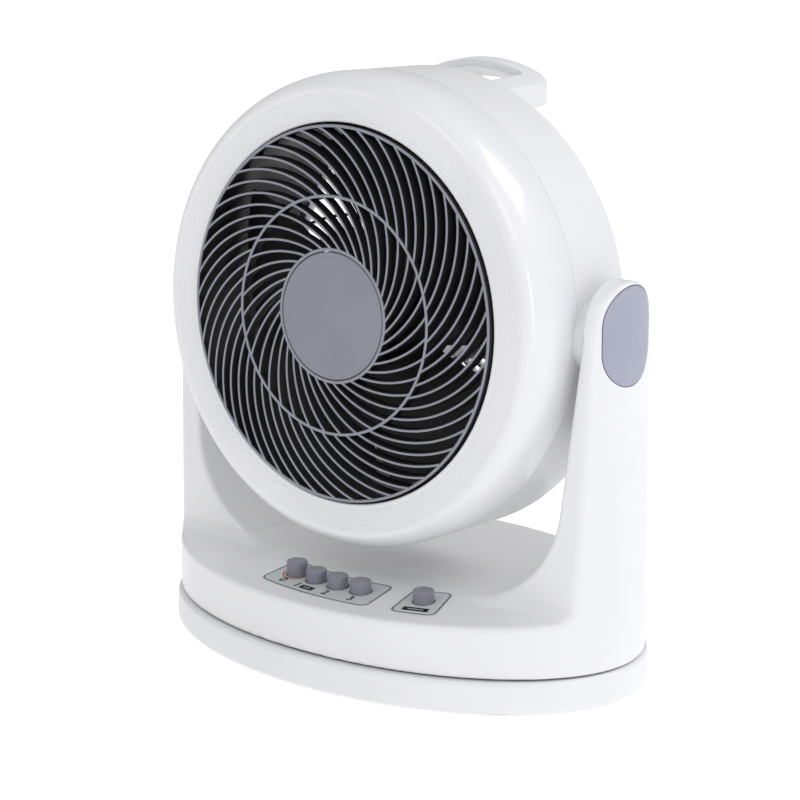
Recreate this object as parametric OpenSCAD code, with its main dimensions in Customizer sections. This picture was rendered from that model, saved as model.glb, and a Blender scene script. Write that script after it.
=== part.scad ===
// Air circulator fan: a drum-shaped head that tilts between two arms, on an oval
// base that swings from side to side and carries a row of push buttons.
// Millimetres, +Z up, front towards -Y, origin on the floor under the centre of
// the oval base.
// The head is drawn in its own frame: z runs forwards along the air axis, y is up,
// and the origin is where the air axis crosses the tilt axis.

/* [Head] */
// Diameter of the air opening in the front ring
opening_d = 244; // [200:0.5:295]
// Width of the flat, grooved front ring
ring_w = 20.3; // [10:0.1:25]
// Radial width of the rounded shoulder outside the ring
shoulder_w = 11.1; // [6:0.1:14]
// Depth of the rounded shoulder, front to back
shoulder_depth = 26.5; // [15:0.5:32]
// Length of the drum from the front ring to the rear rim
drum_len = 97.6; // [90:0.1:118]
// Distance from the front ring back to the tilt axis
front_to_pivot = 61.6; // [56:0.1:70]
// Distance from the front ring back to the seam of the drum
seam_back = 43.6; // [34:0.1:52]
// Depth of the rounded back of the rear shell
back_depth = 16; // [12:0.5:20]
// Width of the rounded back, from the rim to the rear grille
back_w = 22.4; // [16:0.1:27]
// Wall thickness of the plastic shells
wall = 2.5; // [2:0.1:3]
// Angle by which the head looks up at rest
head_tilt = 2.6; // [0:0.1:6]

/* [Grille] */
// Diameter of the cap in the middle of the front grille
cap_d = 81.6; // [68:0.1:98]
// Diameter of the middle ring of the front grille
mid_ring_d = 152; // [130:0.5:182]
// How far the middle of the front grille stands in front of the ring
grille_dome = 7.4; // [6:0.1:9]
// How far the rim of the front grille stands in front of the ring
grille_rim_proud = 2.9; // [0:0.1:3.5]
// Number of curved ribs inside the middle ring
inner_ribs = 36; // [24:1:43]
// Number of curved ribs outside the middle ring
outer_ribs = 48; // [36:1:57]
// Thickness of a rib
rib_t = 1.5; // [1.2:0.1:1.9]
// Depth of a rib, front to back
rib_depth = 7.5; // [6:0.1:9]
// Radius of the arc of an inner rib
inner_rib_r = 80; // [66:1:96]
// Radius of the arc of an outer rib
outer_rib_r = 86; // [72:1:103]
// Gap between the grille rim and the front ring
grille_gap = 1.2; // [0.6:0.1:1.5]
// Number of curved ribs in the rear grille
rear_ribs = 40; // [30:1:48]

/* [Fan and motor] */
// Number of fan blades
blades = 5; // [3:1:6]
// Gap between the blade tips and the air duct
tip_gap = 4; // [3:0.1:5]
// Diameter of the hub of the fan
hub_d = 72; // [60:1:82]
// Diameter of the motor shaft
shaft_d = 8; // [6.6:0.1:9.6]
// Diameter of the motor case
motor_d = 84; // [76:1:88]
// Length of the motor case
motor_len = 42; // [38:1:44]

/* [Yoke] */
// Gap between the drum and each arm, on the tilt axis
side_gap = 8.9; // [8:0.1:11]
// Thickness of an arm on the tilt axis
arm_t = 16.7; // [15:0.1:20]
// Radius of the half-round top of an arm
arm_r = 29.5; // [29:0.1:35]
// Half the depth of an arm at its foot
arm_foot = 37.2; // [35:0.1:42]
// Radius of the sweep from an arm into the deck
sweep_r = 75; // [62:1:90]
// Angle by which the inside of each arm leans outwards
arm_lean = 6; // [4:0.5:7]
// Gap between the deck and the circle that the turning drum sweeps
under_gap = 17; // [14:0.5:25]
// Diameter of the pivot pins
pin_d = 20; // [16.6:0.1:24]
// Diameter of the round ends of the pivot caps
pivot_cap_d = 47; // [41:0.5:51]
// Straight length between the round ends of a pivot cap
pivot_cap_s = 15.8; // [12:0.1:17]

/* [Base] */
// Depth of the lower base
base_d = 229.4; // [215:0.1:276]
// Height of the lower base, feet included
lower_h = 22.7; // [21:0.1:27.3]
// Height of the upper base above the seam
upper_h = 35.9; // [35:0.1:43]
// Height of the dark seam between the lower and the upper base
seam_gap = 1.4; // [1.2:0.1:1.7]
// Side set-back of the upper base from the lower base
step_side = 1.6; // [1:0.1:3]
// Front and rear set-back of the upper base from the lower base
step_front = 5.7; // [3:0.1:7]
// Slope of the button panel
panel_slope = 3.5; // [2:0.1:4]
// Height of the rubber feet below the lower base
foot_h = 2; // [1.6:0.1:2.4]
// Diameter of the rubber feet
foot_d = 20; // [16:0.5:24]
// Outer diameter of the hollow swing spindle
spindle_d = 28; // [23.3:0.1:33.6]

/* [Buttons] */
// Diameter of a button
button_d = 13.5; // [11.2:0.1:16.2]
// Height of a button above the panel
button_h = 8.4; // [7:0.1:10]
// Spacing of the four speed buttons along the row
button_pitch = 18.6; // [17.6:0.1:22]
// Place of the off button along the row, from the middle
button_start = -35.6; // [-42:0.1:-30]
// Place of the swing button along the row, from the middle
swing_button_at = 65; // [58:0.5:76]
// Distance of the row from the front edge of the upper base
row_back = 36.6; // [30.5:0.1:44]
// Radius of the arc that the row follows
row_r = 230; // [192:1:276]
// Travel of a button
button_travel = 3.5; // [3:0.1:4.2]

/* [Handle] */
// Width of the handle
handle_w = 104; // [87:0.5:125]
// How far the handle reaches back from the rear rim
handle_reach = 57; // [52:0.5:68]
// Thickness of the handle
handle_t = 13; // [11:0.1:15.6]
// Width of each side bar of the handle
handle_bar = 15; // [12.5:0.1:18]
// Radius of the arch of the handle
handle_arch_r = 105; // [95:1:126]
// Angle by which the handle rises towards the back
handle_rise = 3.5; // [0:0.1:5]

/* [Hidden] */

// Fits and small gaps
run_fit = 0.05;      // radial, of a shaft or pin that turns in a bore
lay_gap = 0.3;       // between pieces that are laid side by side
oval_sides = 120;    // sides of the polygon for an oval outline
steps = 12;          // steps of a rounded profile
$fn = 64;

// Head
opening_r = opening_d / 2;
ring_r = opening_r + ring_w;
drum_r = ring_r + shoulder_w;
front_z = front_to_pivot;
shoulder_z = front_z - shoulder_depth;
seam_z = front_z - seam_back;
rim_z = front_z - drum_len;
back_z = rim_z - back_depth;
rim_round = 3;                         // rounding of the rear rim
rear_open_r = drum_r - back_w;
lip_depth = 12;                        // depth of the lip round the opening
shell_post_r = 4.5;                    // posts that take the shell screws
shell_post_at = drum_r - wall - 8.5;
shell_head_z = rim_z - 5;              // underside of the heads of the shell screws
turn_r = max(norm([drum_r, shoulder_z]), norm([drum_r, rim_z]));

// Grille
cap_r = cap_d / 2;
cap_gap = 0.5;
hub_ring_t = 2;
hub_ring_r = cap_r + cap_gap;
mid_ring_r = mid_ring_d / 2;
mid_ring_t = 1.8;
grille_rim_r = opening_r - grille_gap;
grille_rim_t = 3.6;
dome_z = front_z + grille_dome;
rim_front_z = front_z + grille_rim_proud;
grille_back_z = rim_front_z - 10;
inner_sweep = 35.4;                    // angle an inner rib runs through
outer_sweep = 36;                      // angle an outer rib runs through
inner_start = 2.1;
outer_start = 2.76;

// Fan and motor
duct_r = opening_r - 3;
duct_front_z = front_z - lip_depth - lay_gap;
blade_span = 58;                       // angle that a blade covers, seen from the front
blade_turn = 12;                       // where the first blade stands
blade_skew = 16;                       // how far the tip of a blade is turned forwards
blade_rows = 6;
blade_cols = 8;
blade_t = 2.4;
blade_rise_hub = 34;                   // front-to-back height of a blade at the hub
blade_rise_tip = 30;
blade_camber = 5;
blade_tip_r = duct_r - tip_gap;
hub_r = hub_d / 2;
hub_front_z = 46;
hub_len = 40;
blade_mid_z = 26;
shaft_r = shaft_d / 2;
motor_r = motor_d / 2;
motor_front_z = -8;
motor_back_z = motor_front_z - motor_len;
motor_wall = 1.6;
bearing_r = shaft_r + 5;
bearing_h = 6;
stator_r = motor_r - motor_wall - 0.4;
rotor_r = 20;
rotor_z = motor_back_z + 10;
rotor_len = motor_len - 20;
boss_depth = bearing_h - motor_wall;
motor_screw_at = motor_r - 8;
rear_hub_r = motor_r + 4;
rear_hub_z = motor_back_z - boss_depth - 4;
rear_grille_r = rear_open_r - 0.5;
rear_grille_t = 5;
rear_ring_r = (rear_grille_r + rear_hub_r) / 2;
rear_rib_t = 2;
rear_rib_sweep = 40;
rear_rib_arc_r = 110;

// Base
lower_b = base_d / 2;
arm_in = drum_r + side_gap;
upper_a = arm_in + arm_t;
upper_b = lower_b - step_front;
lower_a = upper_a + step_side;
upper_z = lower_h + seam_gap;
deck_z = upper_z + upper_h;
plate_t = 2.5;                         // thickness of the swivel plate
plate_top = upper_z + plate_t;
bottom_t = 2.2;
bottom_top = foot_h + bottom_t;
foot_plug_r = 4;                       // plug of a foot, pushed through the bottom plate
gland_r = 6;                           // hole of the cord gland
gland_wall = 2.8;
gland_z = 12.5;
slide_ring_r = 74;
slide_ring_w = 12;
spindle_r = spindle_d / 2;
spindle_wall = 4.5;
boss_z = 10;                           // underside of the spindle boss
slope_y = -(upper_b - 76);             // where the panel starts to slope
pivot_y = -6.4;
arm_shift = 3.2;                        // how far the arms stand behind the tilt axis
arm_y = pivot_y + arm_shift;
pivot_z = deck_z + under_gap + turn_r;
cap_z = pivot_z + 2.7;                 // middle of a pivot cap
arm_top_z = cap_z + 4.4;                // middle of the half-round top of an arm
foot_post = [lower_a * 0.69, lower_b * 0.54];
screw_post = [lower_a * 0.5, lower_b * 0.66];
screw_r = 1.6;
screw_head_r = 3.2;
screw_head_h = 1.2;

// Yoke
cover_t = 2.5;
cover_gap = 0.15;
foot_round = 12;                       // fillet between an arm and the deck
foot_z = deck_z - 1.5;
sweep_cz = deck_z + sweep_r;
sweep_cx = arm_in - (pivot_z - sweep_cz) * tan(arm_lean) - sweep_r / cos(arm_lean);
cover_foot_x = sweep_cx + 4;
pin_r = pin_d / 2;
boss_r = pin_r + 12;                   // boss of a trunnion
cover_boss_r = min(boss_r + 3, arm_r - wall - 1 - arm_shift);
cover_boss_t = 5;
trunnion_face = arm_in - 2;
pin_end = arm_in + cover_boss_t + 0.3;
pivot_washer_t = 1.5;
pivot_screw_r = 3;
pivot_cap_r = pivot_cap_d / 2;
pivot_cap_t = 2.4;
pivot_cap_bow = 100;                   // radius of the bowed face of a cap
pivot_cap_x = upper_a - 1.8;           // outermost point of a cap

// Swing drive: a crank on the motor moves along a slot in the fixed lever
swing_max = 35;
crank_y = 44;
crank_r = crank_y * sin(swing_max);
lever_z = plate_top + 4;
lever_t = 3;
lever_w = 14;
lever_stem_r = 6;
crank_z = lever_z + lever_t + 1.5;
crank_t = 3;
crank_pin_r = 2.7;
swing_motor_z = crank_z + crank_t + 1;
swing_motor_r = 24;
swing_ear = 8;                         // how far the ears of the motor stick out
crank_shaft_r = 3;
crank_hub_r = 8;
crank_tip_r = 4.5;
slot_gap = 0.3;                        // room beside the crank pin in the slot

// Buttons
button_r = button_d / 2;
button_gap = 0.35;
button_flange = 1.6;
button_flange_t = 1.5;
stem_r = 2.4;
stem_fit = 0.08;
row_y = -(upper_b - row_back);
speed_x = [for (i = [0:3]) button_start + i * button_pitch];
button_drop = 2;                       // from the deck underside to the flange
off_extra = 1.5;                       // the off button is a little taller
switch_top_drop = 12;                  // from the deck to the top of the switches
switch_w = 20;
switch_side = 10;                      // from the last button to the end of a switch
decal_t = 0.4;
panel_front = 21;                      // from the row to the front of the panels
panel_back = 17;                       // from the row to the back of the panels
panel_round = 5;

// Electric parts under the deck
capacitor_size = [38, 18, 24];
capacitor_at = [62, 46];
terminal_size = [34, 16, 14];
terminal_at = [-100, 46];
terminal_pitch = 8;

// Handle
handle_z = rim_z - handle_reach;
handle_corner = 14;
hole_back = 14;                        // depth of the grip bar
handle_lip = 6;                        // height of the grip bar's inner edge
hole_front = 16;                       // from the rim to the finger gap
screw_long = 14;

// ---------------------------------------------------------------- outlines

function oval(a, b) =
    [for (i = [0:oval_sides - 1]) [a * cos(360 * i / oval_sides), b * sin(360 * i / oval_sides)]];

function arc(c, r, from, to, n = steps) =
    [for (i = [0:n]) let (t = from + (to - from) * i / n) [c[0] + r * cos(t), c[1] + r * sin(t)]];

function quarter(c, rx, ry, from, to, n = steps) =
    [for (i = [0:n]) let (t = from + (to - from) * i / n) [c[0] + rx * cos(t), c[1] + ry * sin(t)]];

// Height of the sloping panel at a place y
function panel_z(y) = y > slope_y ? deck_z : deck_z - (slope_y - y) * tan(panel_slope);

// Where the row of buttons runs, at a place x
function row_at(x) = row_y + row_r - sqrt(row_r * row_r - x * x);

// Side view of the arms, y and z; inset i makes the cavity outline
function arm_side(i) = concat(
    [[arm_y + arm_foot + foot_round - i, deck_z - 12]],
    [[arm_y + arm_foot + foot_round - i, foot_z - i]],
    arc([arm_y + arm_foot + foot_round - i, foot_z + foot_round], foot_round, 270, 180),
    arc([arm_y, arm_top_z], arm_r - i, 0, 180, 2 * steps),
    arc([arm_y - arm_foot - foot_round + i, foot_z + foot_round], foot_round, 0, -90),
    [[arm_y - arm_foot - foot_round + i, foot_z - i]],
    [[arm_y - arm_foot - foot_round + i, deck_z - 12]]);

function cavity_side(i) = concat(
    [[arm_y + arm_foot - i, deck_z - wall - 1]],
    arc([arm_y, arm_top_z], arm_r - i, 0, 180, 2 * steps),
    [[arm_y - arm_foot + i, deck_z - wall - 1]]);

// Right half of the gap between the arms, x and z, grown outwards by c
function gap_half(c) = concat(
    arc([sweep_cx, sweep_cz], sweep_r + c, -90, -arm_lean, 2 * steps),
    [[arm_in + c, pivot_z], [arm_in + c, pivot_z + 200]]);

function mirrored(p) = [for (i = [len(p) - 1:-1:0]) [-p[i][0], p[i][1]]];

function gap_outline(c) = concat(gap_half(c), mirrored(gap_half(c)));

// Middle of the circle through p and q that turns left with radius r
function arc_middle(p, q, r) =
    let (d = q - p, l = norm(d), h = sqrt(r * r - l * l / 4))
    (p + q) / 2 + [-d[1], d[0]] / l * h;

function polar(r, a) = [r * cos(a), r * sin(a)];

// ---------------------------------------------------------------- placing

module in_head() {
    translate([0, pivot_y, pivot_z]) rotate([90 - head_tilt, 0, 0]) children();
}

module on_pivot(side) {
    translate([0, pivot_y, pivot_z]) rotate([0, 90 * side, 0]) children();
}

module along_x() {
    translate([-250, 0, 0]) rotate([90, 0, 90]) linear_extrude(500) children();
}

module along_y() {
    translate([0, 250, 0]) rotate([90, 0, 0]) linear_extrude(500) children();
}

module at_corners(p) {
    for (sx = [-1, 1], sy = [-1, 1]) translate([sx * p[0], sy * p[1], 0]) children();
}

module round_about(n, r, from = 0) {
    for (i = [0:n - 1]) rotate([0, 0, from + 360 * i / n]) translate([r, 0, 0]) children();
}

module tube(r_out, r_in, h) {
    difference() {
        cylinder(r = r_out, h = h);
        translate([0, 0, -1]) cylinder(r = r_in, h = h + 2);
    }
}

// A screw with its head downwards, pointing along +z
module screw(length) {
    cylinder(r = screw_head_r, h = screw_head_h);
    cylinder(r = screw_r, h = screw_head_h + length);
}

// ---------------------------------------------------------------- lower base

module lower_base() {
    color("whitesmoke") difference() {
        union() {
            difference() {
                translate([0, 0, foot_h]) linear_extrude(lower_h - foot_h)
                    polygon(oval(lower_a, lower_b));
                translate([0, 0, foot_h - 1]) linear_extrude(lower_h - foot_h - wall + 1)
                    polygon(oval(lower_a - wall, lower_b - wall));
            }
            translate([0, 0, boss_z]) cylinder(r = spindle_r + 5, h = lower_h - wall / 2 - boss_z);
            at_corners(screw_post) translate([0, 0, bottom_top])
                cylinder(r = 4.5, h = lower_h - wall / 2 - bottom_top);
        }
        cylinder(r = spindle_r + run_fit, h = 60);
        at_corners(screw_post) cylinder(r = screw_r, h = lower_h - wall);
        gland_place() translate([0, 0, -20]) cylinder(r = gland_r, h = 40);
    }
}

module bottom_plate() {
    color("gainsboro") difference() {
        translate([0, 0, foot_h]) linear_extrude(bottom_t)
            polygon(oval(lower_a - wall - lay_gap, lower_b - wall - lay_gap));
        at_corners(screw_post) cylinder(r = screw_r + 0.2, h = 20);
        at_corners(foot_post) cylinder(r = foot_plug_r, h = 20);
        cylinder(r = lever_stem_r, h = 20);
    }
}

module rubber_feet() {
    color("dimgray") at_corners(foot_post) {
        cylinder(r = foot_d / 2, h = foot_h);
        cylinder(r = foot_plug_r, h = bottom_top);
        translate([0, 0, bottom_top]) cylinder(r = foot_plug_r + 1.2, h = 1.5);
    }
}

module bottom_screws() {
    color("silver") at_corners(screw_post)
        translate([0, 0, foot_h - screw_head_h]) screw(screw_long);
}

module slide_ring() {
    color("ivory") translate([0, 0, lower_h]) tube(slide_ring_r, slide_ring_r - slide_ring_w, seam_gap - 0.1);
}

module thrust_washer() {
    color("ivory") translate([0, 0, boss_z - 1]) tube(spindle_r + 5, spindle_r + 0.2, 1);
}

// The lever stands still; its stem goes up inside the hollow spindle
module swing_lever() {
    color("silver") union() {
        translate([0, 0, foot_h]) cylinder(r = lever_stem_r, h = lever_z + lever_t - foot_h);
        difference() {
            translate([0, 0, lever_z]) linear_extrude(lever_t) union() {
                circle(r = lever_w / 2 + 2);
                translate([-lever_w / 2, 0]) square([lever_w, crank_y + crank_r + 7]);
            }
            translate([-crank_pin_r - slot_gap, crank_y - crank_r - 4, lever_z - 1])
                cube([2 * (crank_pin_r + slot_gap), 2 * crank_r + 8, lever_t + 2]);
        }
    }
}

module gland_place() {
    translate([0, lower_b, gland_z]) rotate([-90, 0, 0]) children();
}

module cord_gland() {
    color("dimgray") gland_place() difference() {
        union() {
            translate([0, 0, -wall - 2.5]) cylinder(r = gland_r + 1.6, h = 2);
            translate([0, 0, -wall - 1]) cylinder(r = gland_r - 0.1, h = wall + 1);
        }
        translate([0, 0, -20]) cylinder(r = gland_r - gland_wall, h = 40);
    }
}

// ---------------------------------------------------------------- yoke

module upper_slab(i) {
    difference() {
        translate([-300, -300, upper_z - i]) cube([600, 600, deck_z - upper_z]);
        translate([0, slope_y, deck_z - i]) rotate([panel_slope, 0, 0])
            translate([-300, -300, 0]) cube([600, 300, 60]);
    }
}

module yoke_housing() {
    color("white") difference() {
        intersection() {
            translate([0, 0, upper_z]) linear_extrude(400) polygon(oval(upper_a, upper_b));
            union() {
                upper_slab(0);
                difference() {
                    along_x() polygon(arm_side(0));
                    along_y() polygon(gap_outline(0));
                    translate([-sweep_cx, -upper_b, deck_z - foot_round])
                        cube([2 * sweep_cx, 2 * upper_b, foot_round + 0.01]);
                }
            }
        }
        intersection() {
            translate([0, 0, upper_z - 1]) linear_extrude(400)
                polygon(oval(upper_a - wall, upper_b - wall));
            union() {
                upper_slab(wall);
                for (side = [-1, 1]) arm_cavity(side, cover_gap);
            }
        }
        for (side = [-1, 1]) pivot_cap_hole(side);
        for (side = [-1, 1]) pivot_seat(side);
        for (x = speed_x) button_hole(x);
        button_hole(swing_button_at);
    }
}

// The hollow of an arm; it opens towards the drum, where the cover closes it
module arm_cavity(side, grow) {
    intersection() {
        difference() {
            along_x() polygon(cavity_side(wall));
            along_y() polygon(gap_outline(-1));
        }
        translate([side > 0 ? cover_foot_x - grow : -400, -200, 0])
            cube([400 - cover_foot_x + grow, 400, 400]);
    }
}

module pivot_cap_prism(side, r, from, to) {
    translate([0, arm_y - pivot_y, 0]) on_pivot(side) translate([0, 0, from]) linear_extrude(to - from)
        union() {
            for (s = [-1, 1]) translate([-side * (cap_z - pivot_z + s * pivot_cap_s / 2), 0])
                circle(r = r);
            translate([-side * (cap_z - pivot_z) - pivot_cap_s / 2, -r])
                square([pivot_cap_s, 2 * r]);
        }
}

module pivot_cap_hole(side) {
    pivot_cap_prism(side, pivot_cap_r + 0.2, upper_a - 12, upper_a + 5);
}

module button_hole(x) {
    translate([x, row_at(x), deck_z - 20]) cylinder(r = button_r + button_gap, h = 40);
}

module swivel_plate() {
    color("gainsboro") difference() {
        translate([0, 0, upper_z]) linear_extrude(plate_t)
            polygon(oval(upper_a - wall - lay_gap, upper_b - wall - lay_gap));
        cylinder(r = spindle_r, h = 60);
        plate_screw_places() cylinder(r = screw_r, h = 60);
    }
}

module plate_screw_places() {
    for (a = [45:90:315]) rotate([0, 0, a]) translate([spindle_r + 6, 0, 0]) children();
}

module swing_spindle() {
    color("silver") difference() {
        union() {
            translate([0, 0, boss_z - 4.5]) cylinder(r = spindle_r, h = plate_top - boss_z + 4.5);
            translate([0, 0, plate_top]) cylinder(r = spindle_r + 10, h = 2);
        }
        cylinder(r = spindle_r - spindle_wall, h = 60);
        translate([0, 0, boss_z - 3]) tube(spindle_r + 1, spindle_r - 1.2, 1.6);
        plate_screw_places() cylinder(r = screw_r, h = 60);
    }
}

module spindle_clip() {
    color("dimgray") translate([0, 0, boss_z - 3]) tube(spindle_r + 3.5, spindle_r - 1.2, 1.5);
}

module plate_screws() {
    color("silver") plate_screw_places()
        translate([0, 0, plate_top + 2 + screw_head_h]) rotate([180, 0, 0]) screw(plate_t + 2);
}

module swing_motor() {
    color("silver") difference() {
        union() {
            translate([0, crank_y, swing_motor_z])
                cylinder(r = swing_motor_r, h = deck_z - wall - swing_motor_z);
            translate([0, crank_y, deck_z - wall - 1.5]) linear_extrude(1.5)
                union() {
                    square([2 * (swing_motor_r + swing_ear), 12], center = true);
                    circle(r = swing_motor_r);
                }
        }
        translate([0, crank_y, swing_motor_z - 1]) cylinder(r = crank_shaft_r + run_fit, h = 8);
    }
}

module swing_crank() {
    color("ivory") translate([0, crank_y, 0]) {
        translate([0, 0, crank_z]) linear_extrude(crank_t) union() {
            circle(r = crank_hub_r);
            translate([-crank_tip_r, 0]) square([2 * crank_tip_r, crank_r]);
            translate([0, crank_r]) circle(r = crank_tip_r);
        }
        translate([0, 0, crank_z]) cylinder(r = crank_shaft_r, h = crank_t + 7);
        translate([0, crank_r, crank_z - 1]) cylinder(r = crank_pin_r, h = 2);
    }
}

module switch_body(x_from, x_to, holes) {
    top = panel_z(row_y) - switch_top_drop;
    y_mid = row_at((x_from + x_to) / 2);
    difference() {
        translate([x_from, y_mid - switch_w / 2, plate_top])
            cube([x_to - x_from, switch_w, top - plate_top]);
        for (x = holes) translate([x, row_at(x), top - 12]) cylinder(r = stem_r + stem_fit, h = 20);
    }
}

module speed_switch() {
    color("dimgray") switch_body(speed_x[0] - switch_side, speed_x[3] + switch_side, speed_x);
}

module swing_switch() {
    color("dimgray") switch_body(swing_button_at - switch_side, swing_button_at + switch_side,
        [swing_button_at]);
}

module capacitor() {
    color("dimgray") translate([capacitor_at[0], capacitor_at[1], plate_top])
        cube(capacitor_size);
}

module terminal_block() {
    color("ivory") translate([terminal_at[0], terminal_at[1], plate_top]) difference() {
        cube(terminal_size);
        for (i = [0:3]) translate([5 + terminal_pitch * i, terminal_size[1] / 2, 5])
            cylinder(r = 2, h = terminal_size[2]);
    }
}

// A printed panel: a strip of the deck between two arcs, with rounded corners; on
// the right it leans with the row
function panel_lean(x) = max(x, 0) / row_r;
function panel_point(x, y) = [x - panel_lean(x) * y, row_at(x) + y];

module panel_outline(x0, x1) {
    xs = [for (i = [0:steps]) x0 + (x1 - x0) * i / steps];
    offset(r = panel_round) offset(r = -panel_round) polygon(concat(
        [for (i = [0:steps]) panel_point(xs[i], -panel_front)],
        [for (i = [steps:-1:0]) panel_point(xs[i], panel_back)]));
}

module panel_sheet(x0, x1, xs) {
    color("lightgray") difference() {
        intersection() {
            translate([0, 0, deck_z - 30]) linear_extrude(60) panel_outline(x0, x1);
            translate([0, slope_y, deck_z]) rotate([panel_slope, 0, 0])
                translate([-200, -200, 0]) cube([400, 260, decal_t]);
        }
        for (x = xs) button_hole(x);
    }
}

module speed_panel() {
    panel_sheet(speed_x[0] - 17, speed_x[3] + 16, speed_x);
}

module swing_panel() {
    panel_sheet(swing_button_at - 14, swing_button_at + 14, [swing_button_at]);
}

module arm_cover(side) {
    color("white") difference() {
        union() {
            intersection() {
                translate([0, 0, upper_z]) linear_extrude(400)
                    polygon(oval(upper_a - wall - 0.2, upper_b - wall - 0.2));
                along_x() polygon(cavity_side(wall + cover_gap));
                along_y() difference() {
                    polygon(gap_outline(cover_t));
                    polygon(gap_outline(0));
                }
                translate([side > 0 ? cover_foot_x : -400, -200, deck_z - wall])
                    cube([400 - cover_foot_x, 400, 400]);
            }
            on_pivot(side) translate([0, 0, arm_in]) cylinder(r = cover_boss_r, h = cover_boss_t);
        }
        on_pivot(side) cylinder(r = pin_r + run_fit, h = 400);
        pivot_seat(side);
    }
}

// Flat round seat for the friction washer and the boss of the trunnion
module pivot_seat(side) {
    on_pivot(side) translate([0, 0, trunnion_face - 8])
        cylinder(r = boss_r + 0.8, h = arm_in - trunnion_face + 8);
}

module arm_cover_left() {
    arm_cover(-1);
}

module arm_cover_right() {
    arm_cover(1);
}

module bowed_block(side, x) {
    translate([side * (x - pivot_cap_bow), arm_y, 0]) cylinder(r = pivot_cap_bow, h = 500, $fn = 128);
}

module pivot_cap(side) {
    color("lightslategray") intersection() {
        pivot_cap_prism(side, pivot_cap_r, upper_a - 12, upper_a + 5);
        difference() {
            bowed_block(side, pivot_cap_x);
            bowed_block(side, pivot_cap_x - pivot_cap_t);
        }
    }
}

module pivot_cap_left() {
    pivot_cap(-1);
}

module pivot_cap_right() {
    pivot_cap(1);
}

// ---------------------------------------------------------------- buttons

module button(x, extra) {
    top = panel_z(row_at(x)) + button_h + extra;
    flange_z = panel_z(row_at(x)) - wall - button_drop - button_flange_t;
    stem_z = panel_z(row_y) - switch_top_drop - 6;
    color("slategray") translate([x, row_at(x), 0]) {
        translate([0, 0, flange_z]) cylinder(r = button_r, h = top - flange_z - 0.8);
        translate([0, 0, top - 0.8]) cylinder(r1 = button_r, r2 = button_r - 0.8, h = 0.8);
        translate([0, 0, flange_z]) cylinder(r = button_r + button_flange, h = button_flange_t);
        translate([0, 0, stem_z]) cylinder(r = stem_r, h = flange_z - stem_z + 1);
    }
}

module button_off() {
    button(speed_x[0], off_extra);
}

module button_1() {
    button(speed_x[1], 0);
}

module button_2() {
    button(speed_x[2], 0);
}

module button_3() {
    button(speed_x[3], 0);
}

module button_swing() {
    button(swing_button_at, 0);
}

// ---------------------------------------------------------------- head shells

module shell_places() {
    round_about(4, shell_post_at, 45) children();
}

module front_shell() {
    color("white") in_head() difference() {
        union() {
            rotate_extrude($fn = 128) polygon(concat(
                [[drum_r, seam_z]],
                quarter([ring_r, shoulder_z], shoulder_w, shoulder_depth, 0, 90),
                [[opening_r, front_z], [opening_r, front_z - lip_depth]],
                [[opening_r + wall, front_z - lip_depth], [opening_r + wall, front_z - wall]],
                quarter([ring_r, shoulder_z], shoulder_w - wall, shoulder_depth - wall, 90, 0),
                [[drum_r - wall, seam_z]]));
            shell_places() translate([0, 0, rim_z])
                cylinder(r = shell_post_r, h = front_z - wall - rim_z - 2);
        }
        shell_places() translate([0, 0, rim_z - 1]) cylinder(r = screw_r, h = screw_long);
    }
}

function rear_profile(i) = concat(
    [[drum_r - i, rim_z + rim_round]],
    arc([drum_r - rim_round, rim_z + rim_round], rim_round - min(i, rim_round - 0.2), 0, -60, 5),
    quarter([rear_open_r, rim_z + 1], drum_r - rim_round - 0.6 - rear_open_r - i,
        back_depth + 1 - i, 0, -90));

module rear_solid() {
    rotate_extrude($fn = 128) polygon(concat(
        [[0, seam_z - 0.3], [drum_r, seam_z - 0.3]],
        rear_profile(0),
        [[0, back_z]]));
}

module rear_shell() {
    color("white") in_head() difference() {
        union() {
            difference() {
                rear_solid();
                rotate_extrude($fn = 128) polygon(concat(
                    [[0, seam_z + 1], [drum_r - wall, seam_z + 1]],
                    rear_profile(wall),
                    [[0, back_z + wall]]));
                translate([0, 0, back_z - 1]) cylinder(r = rear_open_r, h = 20, $fn = 128);
            }
            intersection() {
                rear_solid();
                shell_places() translate([0, 0, back_z])
                    cylinder(r = screw_head_r + 2.3, h = rim_z - back_z);
            }
        }
        shell_places() translate([0, 0, back_z - 1])
            cylinder(r = screw_r + 0.2, h = back_depth + 8);
        shell_places() translate([0, 0, back_z - 1])
            cylinder(r = screw_head_r + 0.3, h = shell_head_z - back_z + 1);
        handle_screw_places() translate([0, 0, -30]) cylinder(r = screw_r, h = 60);
    }
}

module shell_screws() {
    color("silver") in_head() shell_places()
        translate([0, 0, shell_head_z - screw_head_h]) screw(screw_long);
}

module air_duct() {
    color("dimgray") in_head() difference() {
        rotate_extrude($fn = 128) polygon([
            [duct_r, rim_z + 8], [duct_r + wall, rim_z + 8], [duct_r + wall, seam_z],
            [drum_r - wall - lay_gap, seam_z], [drum_r - wall - lay_gap, seam_z + wall],
            [duct_r + wall, seam_z + wall], [duct_r + wall, duct_front_z],
            [duct_r, duct_front_z]]);
        shell_places() translate([0, 0, seam_z - 1]) cylinder(r = shell_post_r + lay_gap, h = 10);
    }
}

// ---------------------------------------------------------------- grilles

// One rib: an arc that runs from radius r0 to r1 while it turns by sweep
module rib(r0, r1, sweep, arc_r, depth, t) {
    p = polar(r0, 0);
    q = polar(r1, sweep);
    m = arc_middle(p, q, arc_r);
    a0 = atan2(p[1] - m[1], p[0] - m[0]);
    span = 2 * asin(norm(q - p) / 2 / arc_r);
    translate([m[0], m[1], 0]) rotate([0, 0, a0])
        rotate_extrude(angle = span, $fn = 96) translate([arc_r - t / 2, 0]) square([t, depth]);
}

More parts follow.
